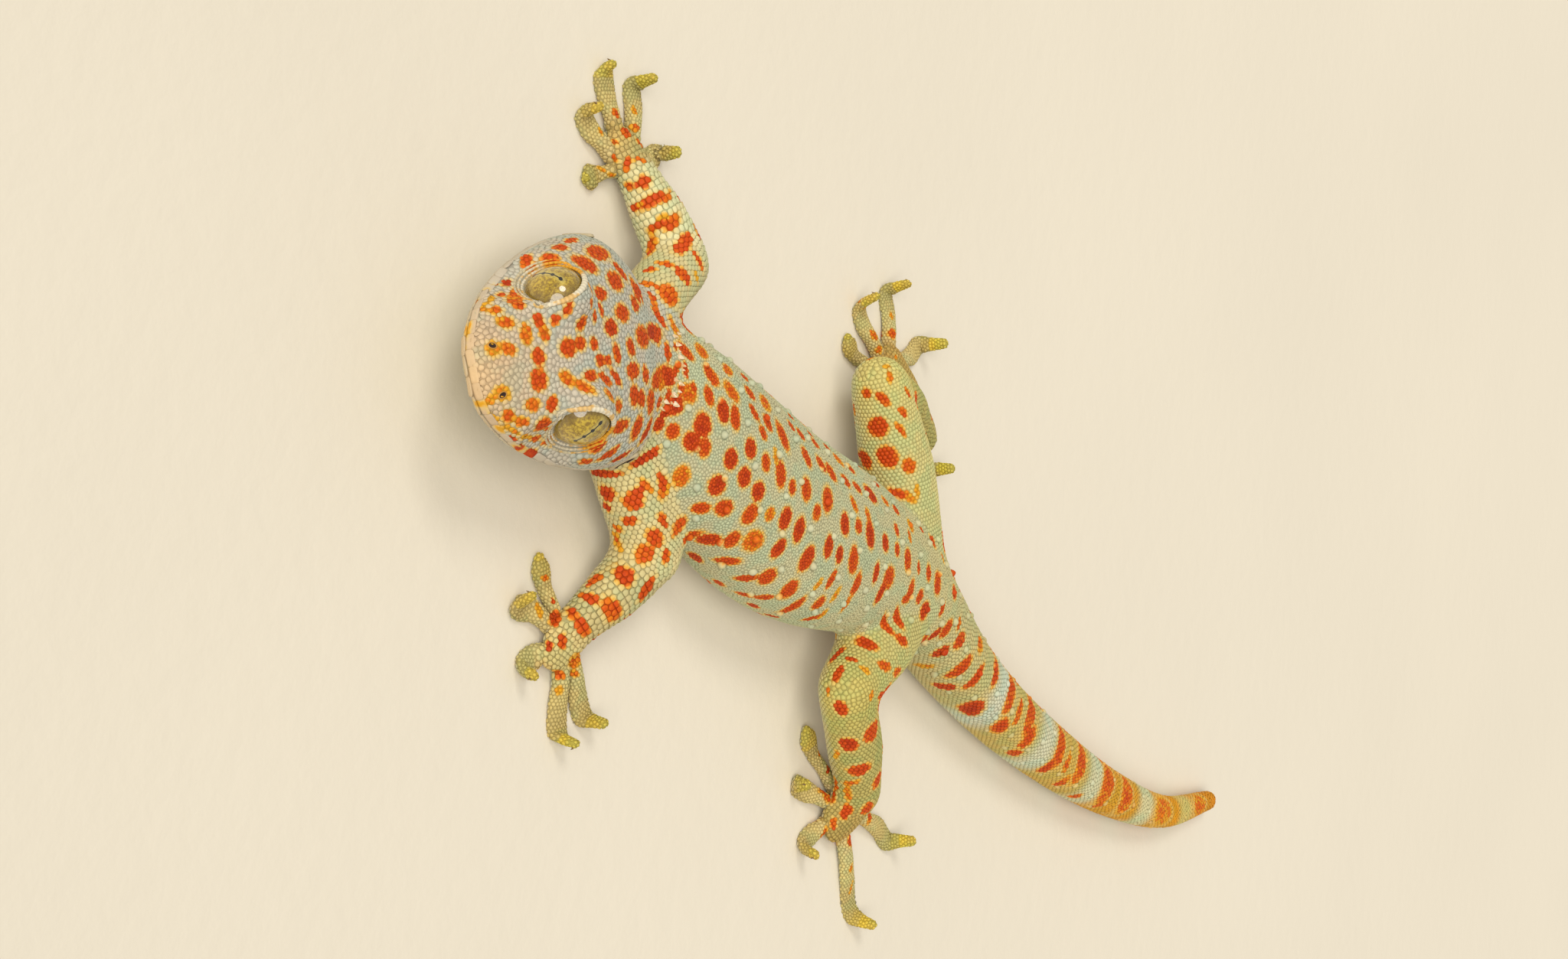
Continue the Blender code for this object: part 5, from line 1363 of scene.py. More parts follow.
def domes(name, places, normals, alongs, outlines, heights, tilts, rings):
    """Closed domes on the skin, one for each place, as one mesh: also its points in millimetres, the number of
    points of each, and where these lie in a flat patch.

    A ring's point lies at outline * share in the skin and height * share above it, plus tilt times how far
    along it lies. The top is one point at full height, and the foot is closed flat. Nothing lies below the floor.
    """
    count, sides = outlines.shape
    turn = np.arange(sides) * 2 * np.pi / sides
    first, second = frames_at(normals, alongs)
    ways = np.cos(turn)[None, :, None] * first[:, None, :] + np.sin(turn)[None, :, None] * second[:, None, :]
    lean = np.cos(turn)[None, :] * outlines * tilts[:, None]
    layers = []
    for share, rise, _ in rings:
        flat = ways * (outlines * share)[:, :, None]
        high = heights[:, None] * rise + (lean * share if rise > 0 else 0.0)
        layers.append(places[:, None, :] + flat + normals[:, None, :] * high[:, :, None])
    top = places + normals * heights[:, None]
    points = np.concatenate([np.concatenate(layers, axis=1), top[:, None, :]], axis=1).reshape(-1, 3)
    points[:, 2] = np.maximum(points[:, 2], 0.0)
    each = len(rings) * sides + 1
    side = np.arange(sides)
    beside = (side + 1) % sides
    faces = []
    for ring in range(len(rings) - 1):
        a = ring * sides + side
        b = ring * sides + beside
        faces += [np.stack([a, b, b + sides], 1), np.stack([a, b + sides, a + sides], 1)]
    last = (len(rings) - 1) * sides
    faces.append(np.stack([last + side, last + beside, np.full(sides, each - 1)], 1))
    foot = np.arange(1, sides - 1)
    faces.append(np.stack([np.zeros(sides - 2, int), foot + 1, foot], 1))
    pattern = np.concatenate(faces)
    all_faces = (np.arange(count)[:, None, None] * each + pattern[None]).reshape(-1, 3)
    mesh = fast_mesh(name, to_metres(points), all_faces)
    # Painted shade by ring, darkest at each scale's foot.
    gap_shade = np.concatenate([np.repeat([ring[2] for ring in rings], sides), [0.0]])
    set_float(mesh, "gap_shade", np.tile(gap_shade, count))
    circle = np.stack([np.cos(turn), np.sin(turn)], 1)
    return mesh, points, each, np.concatenate([*(circle * ring[0] for ring in rings), [[0, 0]]])


def fast_mesh(name, points, triangles):
    """A mesh straight from arrays of points and triangles."""
    mesh = bpy.data.meshes.new(name)
    mesh.vertices.add(len(points))
    mesh.vertices.foreach_set("co", np.asarray(points, np.float32).ravel())
    mesh.loops.add(len(triangles) * 3)
    mesh.loops.foreach_set("vertex_index", np.asarray(triangles, np.int32).ravel())
    mesh.polygons.add(len(triangles))
    mesh.polygons.foreach_set("loop_start", np.arange(len(triangles), dtype=np.int32) * 3)
    mesh.update(calc_edges=True)
    mesh.validate()
    mesh.shade_smooth()
    return mesh


def set_patches(mesh, roots, each, flat):
    """The OFBake map: every scale is a patch 0.003 across at its root's place on the unwrapped skin."""
    uv = np.repeat(roots, each, axis=0) + np.tile(flat * 0.0014, (len(roots), 1))
    corners = np.empty(len(mesh.loops), np.int32)
    mesh.loops.foreach_get("vertex_index", corners)
    layer = mesh.uv_layers.new(name="OFBake")
    layer.uv.foreach_set("vector", uv[corners].astype(np.float32).ravel())


def put_scales(name, mesh, points, each, ground, pale, spots, material):
    """Puts scales in the scene with their markings: ground and paleness by scale, and spots by point."""
    found = np.repeat(spots.nearest(points[each - 1 :: each], 4), each, axis=0)
    spot, dark = spots.read(points, found)
    whole = spot[each - 1 :: each] + np.random.default_rng(5).uniform(-0.10, 0.10, len(ground))
    spot = 0.35 * spot + 0.65 * np.repeat(whole, each)
    dark = dark + np.repeat(np.random.default_rng(6).uniform(-0.2, 0.3, len(ground)), each)
    set_colour(mesh, "ground", np.repeat(ground, each, axis=0))
    set_float(mesh, "pale", np.repeat(pale, each))
    set_float(mesh, "spot", spot)
    set_float(mesh, "dark", dark)
    obj = bpy.data.objects.new(name, mesh)
    bpy.context.scene.collection.objects.link(obj)
    give(obj, material)
    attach(obj, "root")


def rows_of_sites(form, first, last, width, stretch, low, high, random):
    """Staggered rows of places round a form, each row evenly spaced by length, as columns of place, way along,
    share of the form's length and share of a turn.

    width is the spacing round the form, and stretch times it is the spacing of rows.
    """
    step = width * stretch
    parts = [np.empty((0, 8))]
    turns = np.linspace(low, high, 97)
    for number, along in enumerate(np.arange(first, last, step)):
        ring = form.at(np.full(97, along), turns)
        travelled = np.concatenate([[0.0], np.cumsum(np.linalg.norm(np.diff(ring, axis=0), axis=1))])
        count = int(travelled[-1] / width)
        if count < 2:
            continue
        where = (np.arange(count) + 0.5 * (number % 2) + random.uniform(-0.15, 0.15, count)) / count * travelled[-1]
        turn = np.interp(where, travelled, turns)
        here = along + random.uniform(-0.15, 0.15, count) * step
        points = form.at(here, turn)
        ways = form.at(here + 0.3, turn) - points
        ways /= np.maximum(np.linalg.norm(ways, axis=1), 1e-6)[:, None]
        share = np.clip((here - first) / (last - first), 0.0, 1.0)
        parts.append(np.column_stack([points, ways, share, np.mod(turn / (2 * np.pi), 1.0)]))
    return np.concatenate(parts)


def bare_places(places, on_head):
    """Where no scales lie: in the openings of the eyes, nostrils and ears, and under the lip plates."""
    bare = np.zeros(len(places), bool)
    for side in (1, -1):
        bare |= in_opening(places, side, 0.1)
        for (back, out, up), reach in ((NOSTRIL, 0.5), (EAR, 1.0)):
            away = to_head(places) - np.array([-back, side * out, up])
            bare |= np.linalg.norm(away * [1.0, 1.0, 0.6], axis=1) < reach
    local = to_head(places)
    line = np.interp(-local[:, 0], [row[0] for row in MOUTH], [row[1] for row in MOUTH])
    return bare | (on_head & (np.abs(local[:, 2] - line) < 1.2) & (local[:, 0] > -25.4))


class GECKO_OT_scales(bpy.types.Operator):
    """Raised scales all over the skin, each cut to the space that its neighbours leave"""

    bl_idname = "gecko.scales"
    bl_label = "Scales"

    def execute(self, context):
        self.widths = {group: getattr(context.scene.gecko_scales, group, 0.0011) / MM for group in COAT}
        self.random = np.random.default_rng(11)
        forms = body_forms(context.scene.gecko_skin.inset / MM)
        tree = skin_tree()
        chart = Chart(forms)
        sites = self.lay_rows(forms, chart.names)
        sites["places"], sites["normals"], away = onto_skin(tree, sites["places"])
        on_head = np.isin(sites["groups"], ("head", "throat"))
        keep = (away < 0.9) & ~bare_places(sites["places"], on_head)
        sites = {key: value[keep] for key, value in sites.items()}
        self.drop_crowded(sites, 0.62, 0)
        sites = self.fill(sites, chart)
        for _ in range(3):
            self.push_apart(sites, tree)
        self.drop_crowded(sites, 0.5, 0)
        self.shape(sites, chart, body_spots(forms, tree))
        return {"FINISHED"}

    def lay_rows(self, forms, names):
        """Tubercles first, then rows of plates on the limbs, the belly, the tail and the digits."""
        low, high = -0.16 * np.pi, 1.16 * np.pi
        spine = forms["spine"]
        jobs = [("belly", spine, -2.0, RUMP_AT, high, low + 2 * np.pi), ("tail", spine, RUMP_AT, spine.length + 1.8, low, high)]
        jobs.append(("tail", spine, RUMP_AT, spine.length + 1.8, high, low + 2 * np.pi))
        for name, form in forms.items():
            kind = kind_of(name)
            if kind == "digit":
                jobs.append(("digits", form, 0.0, form.length + 0.4, low, high))
            elif kind not in ("spine", "head"):
                jobs.append((kind, form, -2.6, form.length + 2.0, low, high))
                jobs.append((kind, form, -2.6, form.length + 2.0, high, low + 2 * np.pi))
        parts = [self.tubercles(spine)]
        for group, form, first, last, start, end in jobs:
            rows = rows_of_sites(form, first, last, self.widths[group], 0.84, start, end, self.random)
            parts.append(self.columns(rows, group, list(names).index(form.name), self.widths[group], 0.0))
        return {key: np.concatenate([part[key] for part in parts]) for key in parts[0]}

    def columns(self, rows, group, form, width, pale):
        """Rows of places and their widths, groups and forms as named columns."""
        count = len(rows)
        return {
            "places": rows[:, :3],
            "alongs": rows[:, 3:6],
            "unwrapped": rows[:, 6:8],
            "widths": np.broadcast_to(width, count).astype(float),
            "pale": np.full(count, float(pale)),
            "groups": np.full(count, group, dtype="U12"),
            "forms": np.full(count, form),
        }

    def tubercles(self, spine):
        """Low pale tubercles in rows on the back and the tail."""
        parts = []
        for number, along in enumerate(np.arange(8.0, 214.0, 4.0)):
            turns = np.linspace(0.06, 0.94, 6 if along > RUMP_AT else 10) * np.pi
            turns = turns[number % 2 :: 2] + self.random.uniform(-0.06, 0.06, len(turns[number % 2 :: 2]))
            here = along + self.random.uniform(-0.9, 0.9, len(turns))
            points = spine.at(here, turns)
            ways = spine.at(here + 0.3, turns) - points
            parts.append(np.column_stack([points, ways, here / spine.length, turns / (2 * np.pi)]))
        rows = np.concatenate(parts)
        width = np.interp(rows[:, 6], (0.4, 0.6), (1.9, 1.3)) * self.random.uniform(0.75, 1.2, len(rows))
        return self.columns(rows, "tubercles", 0, width, 1.0)

    def fill(self, sites, chart):
        """Fills what the rows leave bare: random places on the skin, each kept if it lies clear of all before it.

        A triangle is chosen as often as area / width^2 says, and a place is clear at 0.82 of the mean width.
        """
        body = bpy.data.objects["skin"]
        corners = triangles_of(body.data)
        sample = np.empty(len(body.data.vertices), np.float32)
        body.data.attributes["sample"].data.foreach_get("value", sample)
        sample = sample[corners[:, 0]].astype(int)
        points = to_millimetres(points_of(body))[corners]
        across = np.cross(points[:, 1] - points[:, 0], points[:, 2] - points[:, 0])
        area = 0.5 * np.linalg.norm(across, axis=1)
        normals = across / np.maximum(2 * area, 1e-9)[:, None]
        groups = self.groups_at(chart, sample, normals)
        names, inverse = np.unique(groups, return_inverse=True)
        widths = np.array([self.widths[name] for name in names])[inverse]
        bare = bare_places(points.mean(axis=1), np.isin(groups, ("head", "throat")))
        bare |= (points[:, :, 2].max(axis=1) < 0.1) & (groups == "digits")
        weight = np.where(bare, 0.0, area / widths**2)
        count = int(weight.sum())
        for _ in range(9):
            chosen = self.random.choice(len(area), count, p=weight / weight.sum())
            a, b = self.random.random((2, count))
            a, b = np.where(a + b > 1, 1 - a, a), np.where(a + b > 1, 1 - b, b)
            start, second, third = (points[chosen, k] for k in range(3))
            places = start + a[:, None] * (second - start) + b[:, None] * (third - start)
            near = sample[chosen]
            more = {
                "places": places,
                "normals": normals[chosen],
                "alongs": chart.ahead[near],
                "unwrapped": np.column_stack([chart.share[near], chart.turns(places, near)]),
                "widths": widths[chosen],
                "pale": np.zeros(count),
                "groups": groups[chosen],
                "forms": chart.form[near],
            }
            before = len(sites["widths"])
            sites = {key: np.concatenate([sites[key], more[key]]) for key in sites}
            self.drop_crowded(sites, 0.82, before)
        return sites

    def groups_at(self, chart, sample, normals):
        """The group of scales at places that belong to samples of the chart."""
        kinds = np.array([kind_of(name) for name in chart.names], dtype="U12")[chart.form[sample]]
        rump = RUMP_AT / length_of(SPINE)
        under = normals[:, 2] < -0.45
        groups = np.where(kinds == "digit", "digits", kinds).astype("U12")
        groups[(kinds == "head") & under] = "throat"
        groups[kinds == "spine"] = "trunk"
        groups[(kinds == "spine") & under] = "belly"
        groups[(kinds == "spine") & (chart.share[sample] > rump)] = "tail"
        return groups

    def drop_crowded(self, sites, share, first):
        """From the first on, a site goes if one laid before it is closer than a share of the mean of their widths."""
        tree = self.tree_of(sites["places"])
        widths = sites["widths"].tolist()
        keep = [True] * len(widths)
        places = sites["places"][first:].tolist()
        for i, place in enumerate(places, first):
            for _, j, distance in tree.find_range(place, 0.5 * share * (widths[i] + 1.3)):
                if j < i and keep[j] and distance < share * 0.5 * (widths[i] + widths[j]):
                    keep[i] = False
                    break
        for key in sites:
            sites[key] = sites[key][keep]

    def tree_of(self, places):
        tree = KDTree(len(places))
        for i, place in enumerate(places.tolist()):
            tree.insert(place, i)
        tree.balance()
        return tree

    def neighbours(self, places, count):
        """Indices of the nearest sites of each site, itself left out."""
        tree = self.tree_of(places)
        return np.array([[found[1] for found in tree.find_n(place, count + 1)[1:]] for place in places.tolist()])

    def push_apart(self, sites, tree):
        """Each site moves away from neighbours nearer than their mean width, then back onto the skin."""
        places = sites["places"]
        near = self.neighbours(places, 6)
        offset = places[:, None, :] - places[near]
        distance = np.maximum(np.linalg.norm(offset, axis=2), 1e-6)
        wanted = 0.5 * (sites["widths"][:, None] + sites["widths"][near])
        push = np.clip((wanted - distance) / distance, 0.0, 1.0)
        weight = np.where(sites["pale"] > 0, 0.0, 0.3)
        moved = places + weight[:, None] * (offset * push[:, :, None]).sum(axis=1)
        sites["places"], sites["normals"], _ = onto_skin(tree, moved)

    def outlines(self, sites, near, members, sides):
        """Each scale's reach in a number of directions, as far as the line half way to each neighbour.

        For a neighbour at offset n the line is at share * |n|^2 / (n . direction), where share is the scale's
        part of the two widths. The reach is the least of these and at most 0.72 of its width.
        """
        places = sites["places"]
        near = near[members]
        first, second = frames_at(sites["normals"][members], sites["alongs"][members])
        offset = places[near] - places[members][:, None, :]
        a = (offset * first[:, None, :]).sum(axis=2)
        b = (offset * second[:, None, :]).sum(axis=2)
        widths = sites["widths"][members]
        share = widths[:, None] / (widths[:, None] + sites["widths"][near])
        square = share * (a**2 + b**2)
        reach = np.empty((len(members), sides))
        for k in range(sides):
            turn = k * 2 * np.pi / sides
            along = a * math.cos(turn) + b * math.sin(turn)
            reach[:, k] = np.where(along > 1e-3, square / np.maximum(along, 1e-3), 9.0).min(axis=1)
        return np.minimum(reach, 0.72 * widths[:, None])

    def shape(self, sites, chart, spots):
        """Makes the meshes, group by group, each piece under the limit of triangles."""
        near = self.neighbours(sites["places"], 9)
        ground, _ = chart.read(sites["places"], sites["normals"])
        ground = ground * self.random.uniform(0.93, 1.07, len(ground))[:, None]
        material = hide_finish("scales", scales=True)
        for group, (rise, tilt, sides, rings, slot) in COAT.items():
            members = np.flatnonzero(sites["groups"] == group)
            if not len(members):
                raise RuntimeError("no scales in group " + group)
            members = members[np.argsort(sites["unwrapped"][members, 0], kind="stable")]
            triangles = 2 * sides * len(rings) - 2
            pieces = math.ceil(len(members) * triangles / MOST_TRIANGLES)
            for number, part in enumerate(np.array_split(members, pieces)):
                name = "%s_scales_%d" % (group, number + 1)
                outlines = self.outlines(sites, near, part, sides)
                heights = rise * sites["widths"][part] * self.random.uniform(0.8, 1.2, len(part))
                mesh, points, each, flat = domes(
                    name,
                    sites["places"][part],
                    sites["normals"][part],
                    sites["alongs"][part],
                    outlines,
                    heights,
                    np.full(len(part), tilt),
                    rings,
                )
                set_patches(mesh, self.roots(sites, part), each, flat)
                put_scales(name, mesh, points, each, ground[part], sites["pale"][part], spots, material)
                print(name, len(part), "scales", len(mesh.polygons), "triangles")

    def roots(self, sites, part):
        """Places on the unwrapped forms: distance along a form runs across the map and turn round it up its band."""
        forms, rank = np.unique(sites["forms"][part], return_inverse=True)
        columns = 4 if len(forms) > 4 else 1
        rows = math.ceil(len(forms) / columns)
        share, turn = sites["unwrapped"][part].T
        share = (share - share.min()) / (share.max() - share.min())
        u = (rank % columns + share) / columns
        v = (rank // columns + turn) / rows
        return 0.01 + 0.98 * np.stack([u, v], 1)


def head_tangent(side):
    """Axes of an eye in the body's frame: up along the slit of the pupil, across it, and out of the eye."""
    out = HEAD[:3, :3] @ eye_outward(side)
    up = HEAD[:3, :3] @ np.array([0.0, 0.0, 1.0])
    up = up - up.dot(out) * out
    up /= np.linalg.norm(up)
    return up, np.cross(out, up), out


# Pupils from the photograph, on a ball of radius 1: middle and lean of the slit, up and across it.
PUPILS = {1: ((0.20, 0.108), 0.0), -1: ((-0.06, -0.075), -0.20)}
PUPIL_HALF = 0.50
PINHOLES = (-0.45, -0.14, 0.16, 0.43)


class GECKO_OT_eyes(bpy.types.Operator):
    """Eyeballs with a granular golden iris and a shut slit pupil with four pinholes"""

    bl_idname = "gecko.eyes"
    bl_label = "Eyes"

    def execute(self, context):
        material = self.finish()
        for side, word in ((1, "left"), (-1, "right")):
            up, across, out = head_tangent(side)
            polar = (np.linspace(0.0, 1.0, 72)[1:-1] ** 0.9 * np.pi)[:, None]
            turn = (np.arange(96) * 2 * np.pi / 96)[None, :]
            x = np.sin(polar) * np.cos(turn)
            y = np.sin(polar) * np.sin(turn)
            z = np.cos(polar) + 0 * turn
            bulge = 1.0 - 0.012 * np.exp(-((polar / 0.9) ** 2))
            grid = (EYE_BALL * bulge)[..., None] * (x[..., None] * up + y[..., None] * across + z[..., None] * out)
            middle = from_head(eyeball_middle(side))
            points = closed_grid(grid + middle)
            points[-2] = middle + out * EYE_BALL * 0.988
            points[-1] = middle - out * EYE_BALL
            faces = grid_faces(grid.shape[0], grid.shape[1])
            eye = put_mesh("eyeball_" + word, to_metres(points), faces[:, ::-1] if self.inward(points, faces) else faces)
            (high, wide), lean = PUPILS[side]
            local = (points - middle) / EYE_BALL
            slit = local @ up - high
            beside = local @ across - wide
            set_float(eye.data, "slit", slit * math.cos(lean) + beside * math.sin(lean))
            set_float(eye.data, "wide", beside * math.cos(lean) - slit * math.sin(lean))
            set_float(eye.data, "rim", np.hypot(local @ up, local @ across))
            give(eye, material)
            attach(eye, "root")
            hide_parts("eye_" + word)
        return {"FINISHED"}

    def inward(self, points, faces):
        """Whether the faces enclose a negative volume."""
        a, b, c = (points[faces[:, k]] - points.mean(axis=0) for k in range(3))
        return (a * np.cross(b, c)).sum() < 0

    def finish(self):
        """Olive gold grain that darkens to the rim, and a thin bowed line with pinholes strung on it."""
        finish = Finish("eye", Metallic=0.0, IOR=1.4, Coat_IOR=1.75, Coat_Roughness=0.03)
        slit = finish.attribute("slit")
        wide = finish.attribute("wide")
        rim = finish.attribute("rim")
        grain = finish.noise(2300.0, 4.0, 0.7)
        veins = finish.noise(700.0, 3.0, 0.6)
        colour = finish.mix(linear((204, 172, 44)), linear((138, 106, 8)), grain.step(0.36, 0.62))
        colour = finish.mix(colour, linear((112, 84, 4)), veins.step(0.50, 0.66) * 0.6)
        colour = finish.mix(colour, linear((104, 80, 18)), rim.step(0.60, 0.84) * 0.7)
        bow = wide + slit * slit * 0.22 - 0.02
        line = bow.abs().step(0.030, 0.014) * slit.abs().step(PUPIL_HALF + 0.03, PUPIL_HALF - 0.03)
        holes = None
        for place in PINHOLES:
            away = ((slit - place) * (slit - place) + bow * bow) ** 0.5
            hole = away.step(0.072, 0.052)
            holes = hole if holes is None else holes.larger(hole)
        beside = bow.abs().step(0.16, 0.05) * slit.abs().step(0.62, 0.5)
        colour = finish.mix(colour, linear((214, 196, 108)), beside * 0.45)
        colour = finish.mix(colour, (0.006, 0.004, 0.002), line.larger(holes))
        finish.feed("Base Color", colour)
        finish.shader.inputs["Coat Weight"].default_value = 1.0
        finish.feed("Roughness", 0.28 + grain * 0.2)
        finish.bump(grain, 0.00005, 0.4)
        return finish.material


# Ridges of a lid from the eye outwards: how far out, half width, half height, and how far round from the front
# the ridge fades, in radians.
LID_RIDGES = ((0.24, 0.27, 0.26, 9.0), (0.74, 0.24, 0.2, 9.0), (1.2, 0.24, 0.18, 1.9))


class GECKO_OT_lids(bpy.types.Operator):
    """Thin nested ridges of eyelid all round each eye, the inner one cream"""

    bl_idname = "gecko.lids"
    bl_label = "Eyelids"

    def execute(self, context):
        material = self.finish()
        tree = skin_tree()
        for side, word in ((1, "left"), (-1, "right")):
            rings = [self.ring(side, tree, *ridge) for ridge in LID_RIDGES]
            points, faces, shades = [], [], []
            for number, (grid, shade) in enumerate(rings):
                steps, sides, _ = grid.shape
                first = number * steps * sides
                a = first + np.arange(steps)[:, None] * sides + np.arange(sides)[None, :]
                b = first + np.arange(steps)[:, None] * sides + (np.arange(sides)[None, :] + 1) % sides
                c, d = np.roll(a, -1, axis=0), np.roll(b, -1, axis=0)
                quads = np.stack([a, c, d, b], -1).reshape(-1, 4)
                faces.append(quads)
                points.append(grid.reshape(-1, 3))
                shades.append(np.repeat(shade, sides, axis=0))
            lid = put_mesh("eyelid_" + word, to_metres(np.concatenate(points)), np.concatenate(faces))
            shades = np.concatenate(shades)
            for column, name in enumerate(("groove", "rear", "ridge")):
                set_float(lid.data, name, shades[:, column])
            give(lid, material)
            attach(lid, "root")
        return {"FINISHED"}

    pleats = 46

    def ring(self, side, tree, outer, half, high, fade):
        """A ridge round the eye: an oval section carried round the opening, dipping at each pleat.

        The inner ridge leans on the ball and is thickest towards the crown. The others lie on the skin.
        """
        up, across, out = head_tangent(side)
        middle = from_head(eyeball_middle(side))
        turn = np.arange(self.pleats * 8) * 2 * np.pi / (self.pleats * 8)
        forward = HEAD[:3, :3] @ np.array([1.0, 0.0, 0.0])
        ahead = math.atan2(forward @ across, forward @ up)
        from_front = np.abs(np.angle(np.exp(1j * (turn - ahead))))
        radial = np.cos(turn)[:, None] * up + np.sin(turn)[:, None] * across
        groove = 0.5 - 0.5 * np.cos(self.pleats * turn)
        crown = 0.5 + 0.5 * np.cos(turn)
        corner = np.exp(-((from_front / 0.45) ** 2))
        rear = np.exp(-(((np.pi - from_front) / 0.75) ** 2))
        radius = EYE_OPENING + outer + 0.35 * corner
        level = EYE_DEPTH - 0.02 - 0.3 * corner + 0.5 * max(outer - 0.3, 0.0)
        centre = middle + radius[:, None] * radial + level[:, None] * out
        size = (1 - 0.10 * groove) * (1 - 0.75 * np.clip(from_front - fade, 0, 1))
        if outer > 0.5:
            centre, normals, _ = onto_skin(tree, centre)
            lean = radial - (radial * normals).sum(axis=1)[:, None] * normals
            rise = normals
            wide = half * size
        else:
            lean = 0.88 * radial - 0.47 * out
            rise = 0.47 * radial + 0.88 * out
            wide = (half + 0.16 * crown) * size
            centre = centre + 0.10 * crown[:, None] * radial
        small = np.arange(12) * 2 * np.pi / 12
        section = (wide[:, None] * np.cos(small))[..., None] * lean[:, None, :]
        section = section + (high * size[:, None] * np.sin(small))[..., None] * rise[:, None, :]
        shade = np.stack([groove, rear, np.full(len(turn), outer)], 1)
        return centre[:, None, :] + section, shade

    def finish(self):
        """Cream with ochre patches, yellow orange at the rear corner, greyer on the outer ridges, and painted shade in
        the pleats' grooves.
        """
        finish = Finish("eyelid", Metallic=0.0, IOR=1.42)
        groove = finish.attribute("groove")
        patch = finish.noise(520.0, 2.0)
        grain = finish.noise(2500.0, 2.0)
        outer = finish.attribute("ridge").step(0.4, 1.1)
        colour = finish.mix(linear((234, 222, 192)), linear((208, 194, 158)), outer)
        colour = finish.mix(colour, linear((226, 172, 66)), patch.step(0.52, 0.62) * 0.75)
        colour = finish.mix(colour, linear((234, 166, 40)), (finish.attribute("rear") + (patch - 0.5)).step(0.2, 0.5))
        # Painted shade: each pleat's groove is darkened.
        colour = finish.shade(colour, 0.9 + grain * 0.2 - groove * 0.22)
        finish.feed("Base Color", colour)
        finish.feed("Roughness", 0.45 + grain * 0.2)
        return finish.material


def head_side(back, up):
    """How far out the side of the head lies at a distance behind the snout and a height."""
    rows = [(place, 0.0, 0.0, *sizes) for place, *sizes in HEAD_STATIONS]
    _, _, _, width, level, top, bottom = flow(rows, at=np.array([back]))[0]
    reach = top - level if up > level else level - bottom
    return width * max(0.0, 1 - (abs(up - level) / reach) ** HEAD_POWER) ** (1 / HEAD_POWER)


# Rings of a lip plate, as for the scales: share of its outline, share of its height, and painted shade, darkest at the
# foot.
LIP_RINGS = ((0.998, -1.6, 0.5), (0.99, 0.4, 0.25), (0.90, 0.9, 0.05), (0.5, 1.0, 0.0))


class GECKO_OT_lips(bpy.types.Operator):
    """Rows of smooth, flat lip plates above and below the line of the mouth"""

    bl_idname = "gecko.lips"
    bl_label = "Lips"

    def execute(self, context):
        tree = skin_tree()
        forms = body_forms(context.scene.gecko_skin.inset / MM)
        chart = Chart(forms)
        spots = body_spots(forms, tree)
        material = hide_finish("lips", scales=True, cool_share=0.1)
        random = np.random.default_rng(3)
        rows = {"upper": (13, 0.66, 0.60, "head_skin"), "lower": (12, -0.66, 0.58, "jaw_skin")}
        for word, (count, rise, half, slot) in rows.items():
            places, alongs, longs = [], [], []
            for side in (1, -1):
                row, ways, spacing = self.row(side, count, rise)
                places.append(row)
                alongs.append(ways)
                longs.append(np.full(count, 0.52 * spacing))
            level = np.interp(0.0, *zip(*MOUTH)) + rise
            across = head_side(0.25, level) * np.array([-2.0, 0.0, 2.0]) / 3.0
            places.append(from_head(np.stack([0.2 - 0.03 * across**2, across, np.full(3, level)], 1)))
            alongs.append(np.tile(HEAD[:3, :3] @ np.array([0.0, 1.0, 0.0]), (3, 1)))
            longs.append(np.full(3, 0.55 * abs(across[0])))
            places, normals, _ = onto_skin(tree, np.concatenate(places))
            longs = np.concatenate(longs)
            sides = 24
            turn = np.arange(sides) * 2 * np.pi / sides
            square = (np.abs(np.cos(turn))[None] / longs[:, None]) ** 7 + (np.abs(np.sin(turn))[None] / half) ** 7
            outlines = square ** (-1 / 7)
            heights = np.full(len(places), 0.09)
            mesh, points, each, flat = domes(
                word + "_lip", places, normals, np.concatenate(alongs), outlines, heights, 0 * heights, LIP_RINGS
            )
            roots = np.stack([np.linspace(0.05, 0.95, len(places)), np.full(len(places), 0.5)], 1)
            set_patches(mesh, roots, each, flat)
            ground, _ = chart.read(places, normals)
            ground = (0.85 * ground + 0.15 * linear(LIP)) * random.uniform(0.97, 1.03, (len(places), 1))
            put_scales(word + "_lip_plates", mesh, points, each, ground, np.zeros(len(places)), spots, material)
        return {"FINISHED"}

    def row(self, side, count, rise):
        """Places of a row of plates at even steps along the lip, from the snout's plate to the mouth's corner."""
        line = np.array(MOUTH)
        back = np.linspace(0.25, 25.2, 200)
        up = np.interp(back, line[:, 0], line[:, 1]) + rise
        out = side * np.array([head_side(b, u) for b, u in zip(back, up)])
        path = np.stack([-back, out, up], 1)
        travelled = np.concatenate([[0.0], np.cumsum(np.linalg.norm(np.diff(path, axis=0), axis=1))])
        spacing = travelled[-1] / count
        where = (np.arange(count) + 0.5) * spacing
        places = np.stack([np.interp(where, travelled, path[:, k]) for k in range(3)], 1)
        ahead = np.stack([np.interp(where + 0.2, travelled, path[:, k]) for k in range(3)], 1) - places
        return from_head(places), ahead @ HEAD[:3, :3].T, spacing


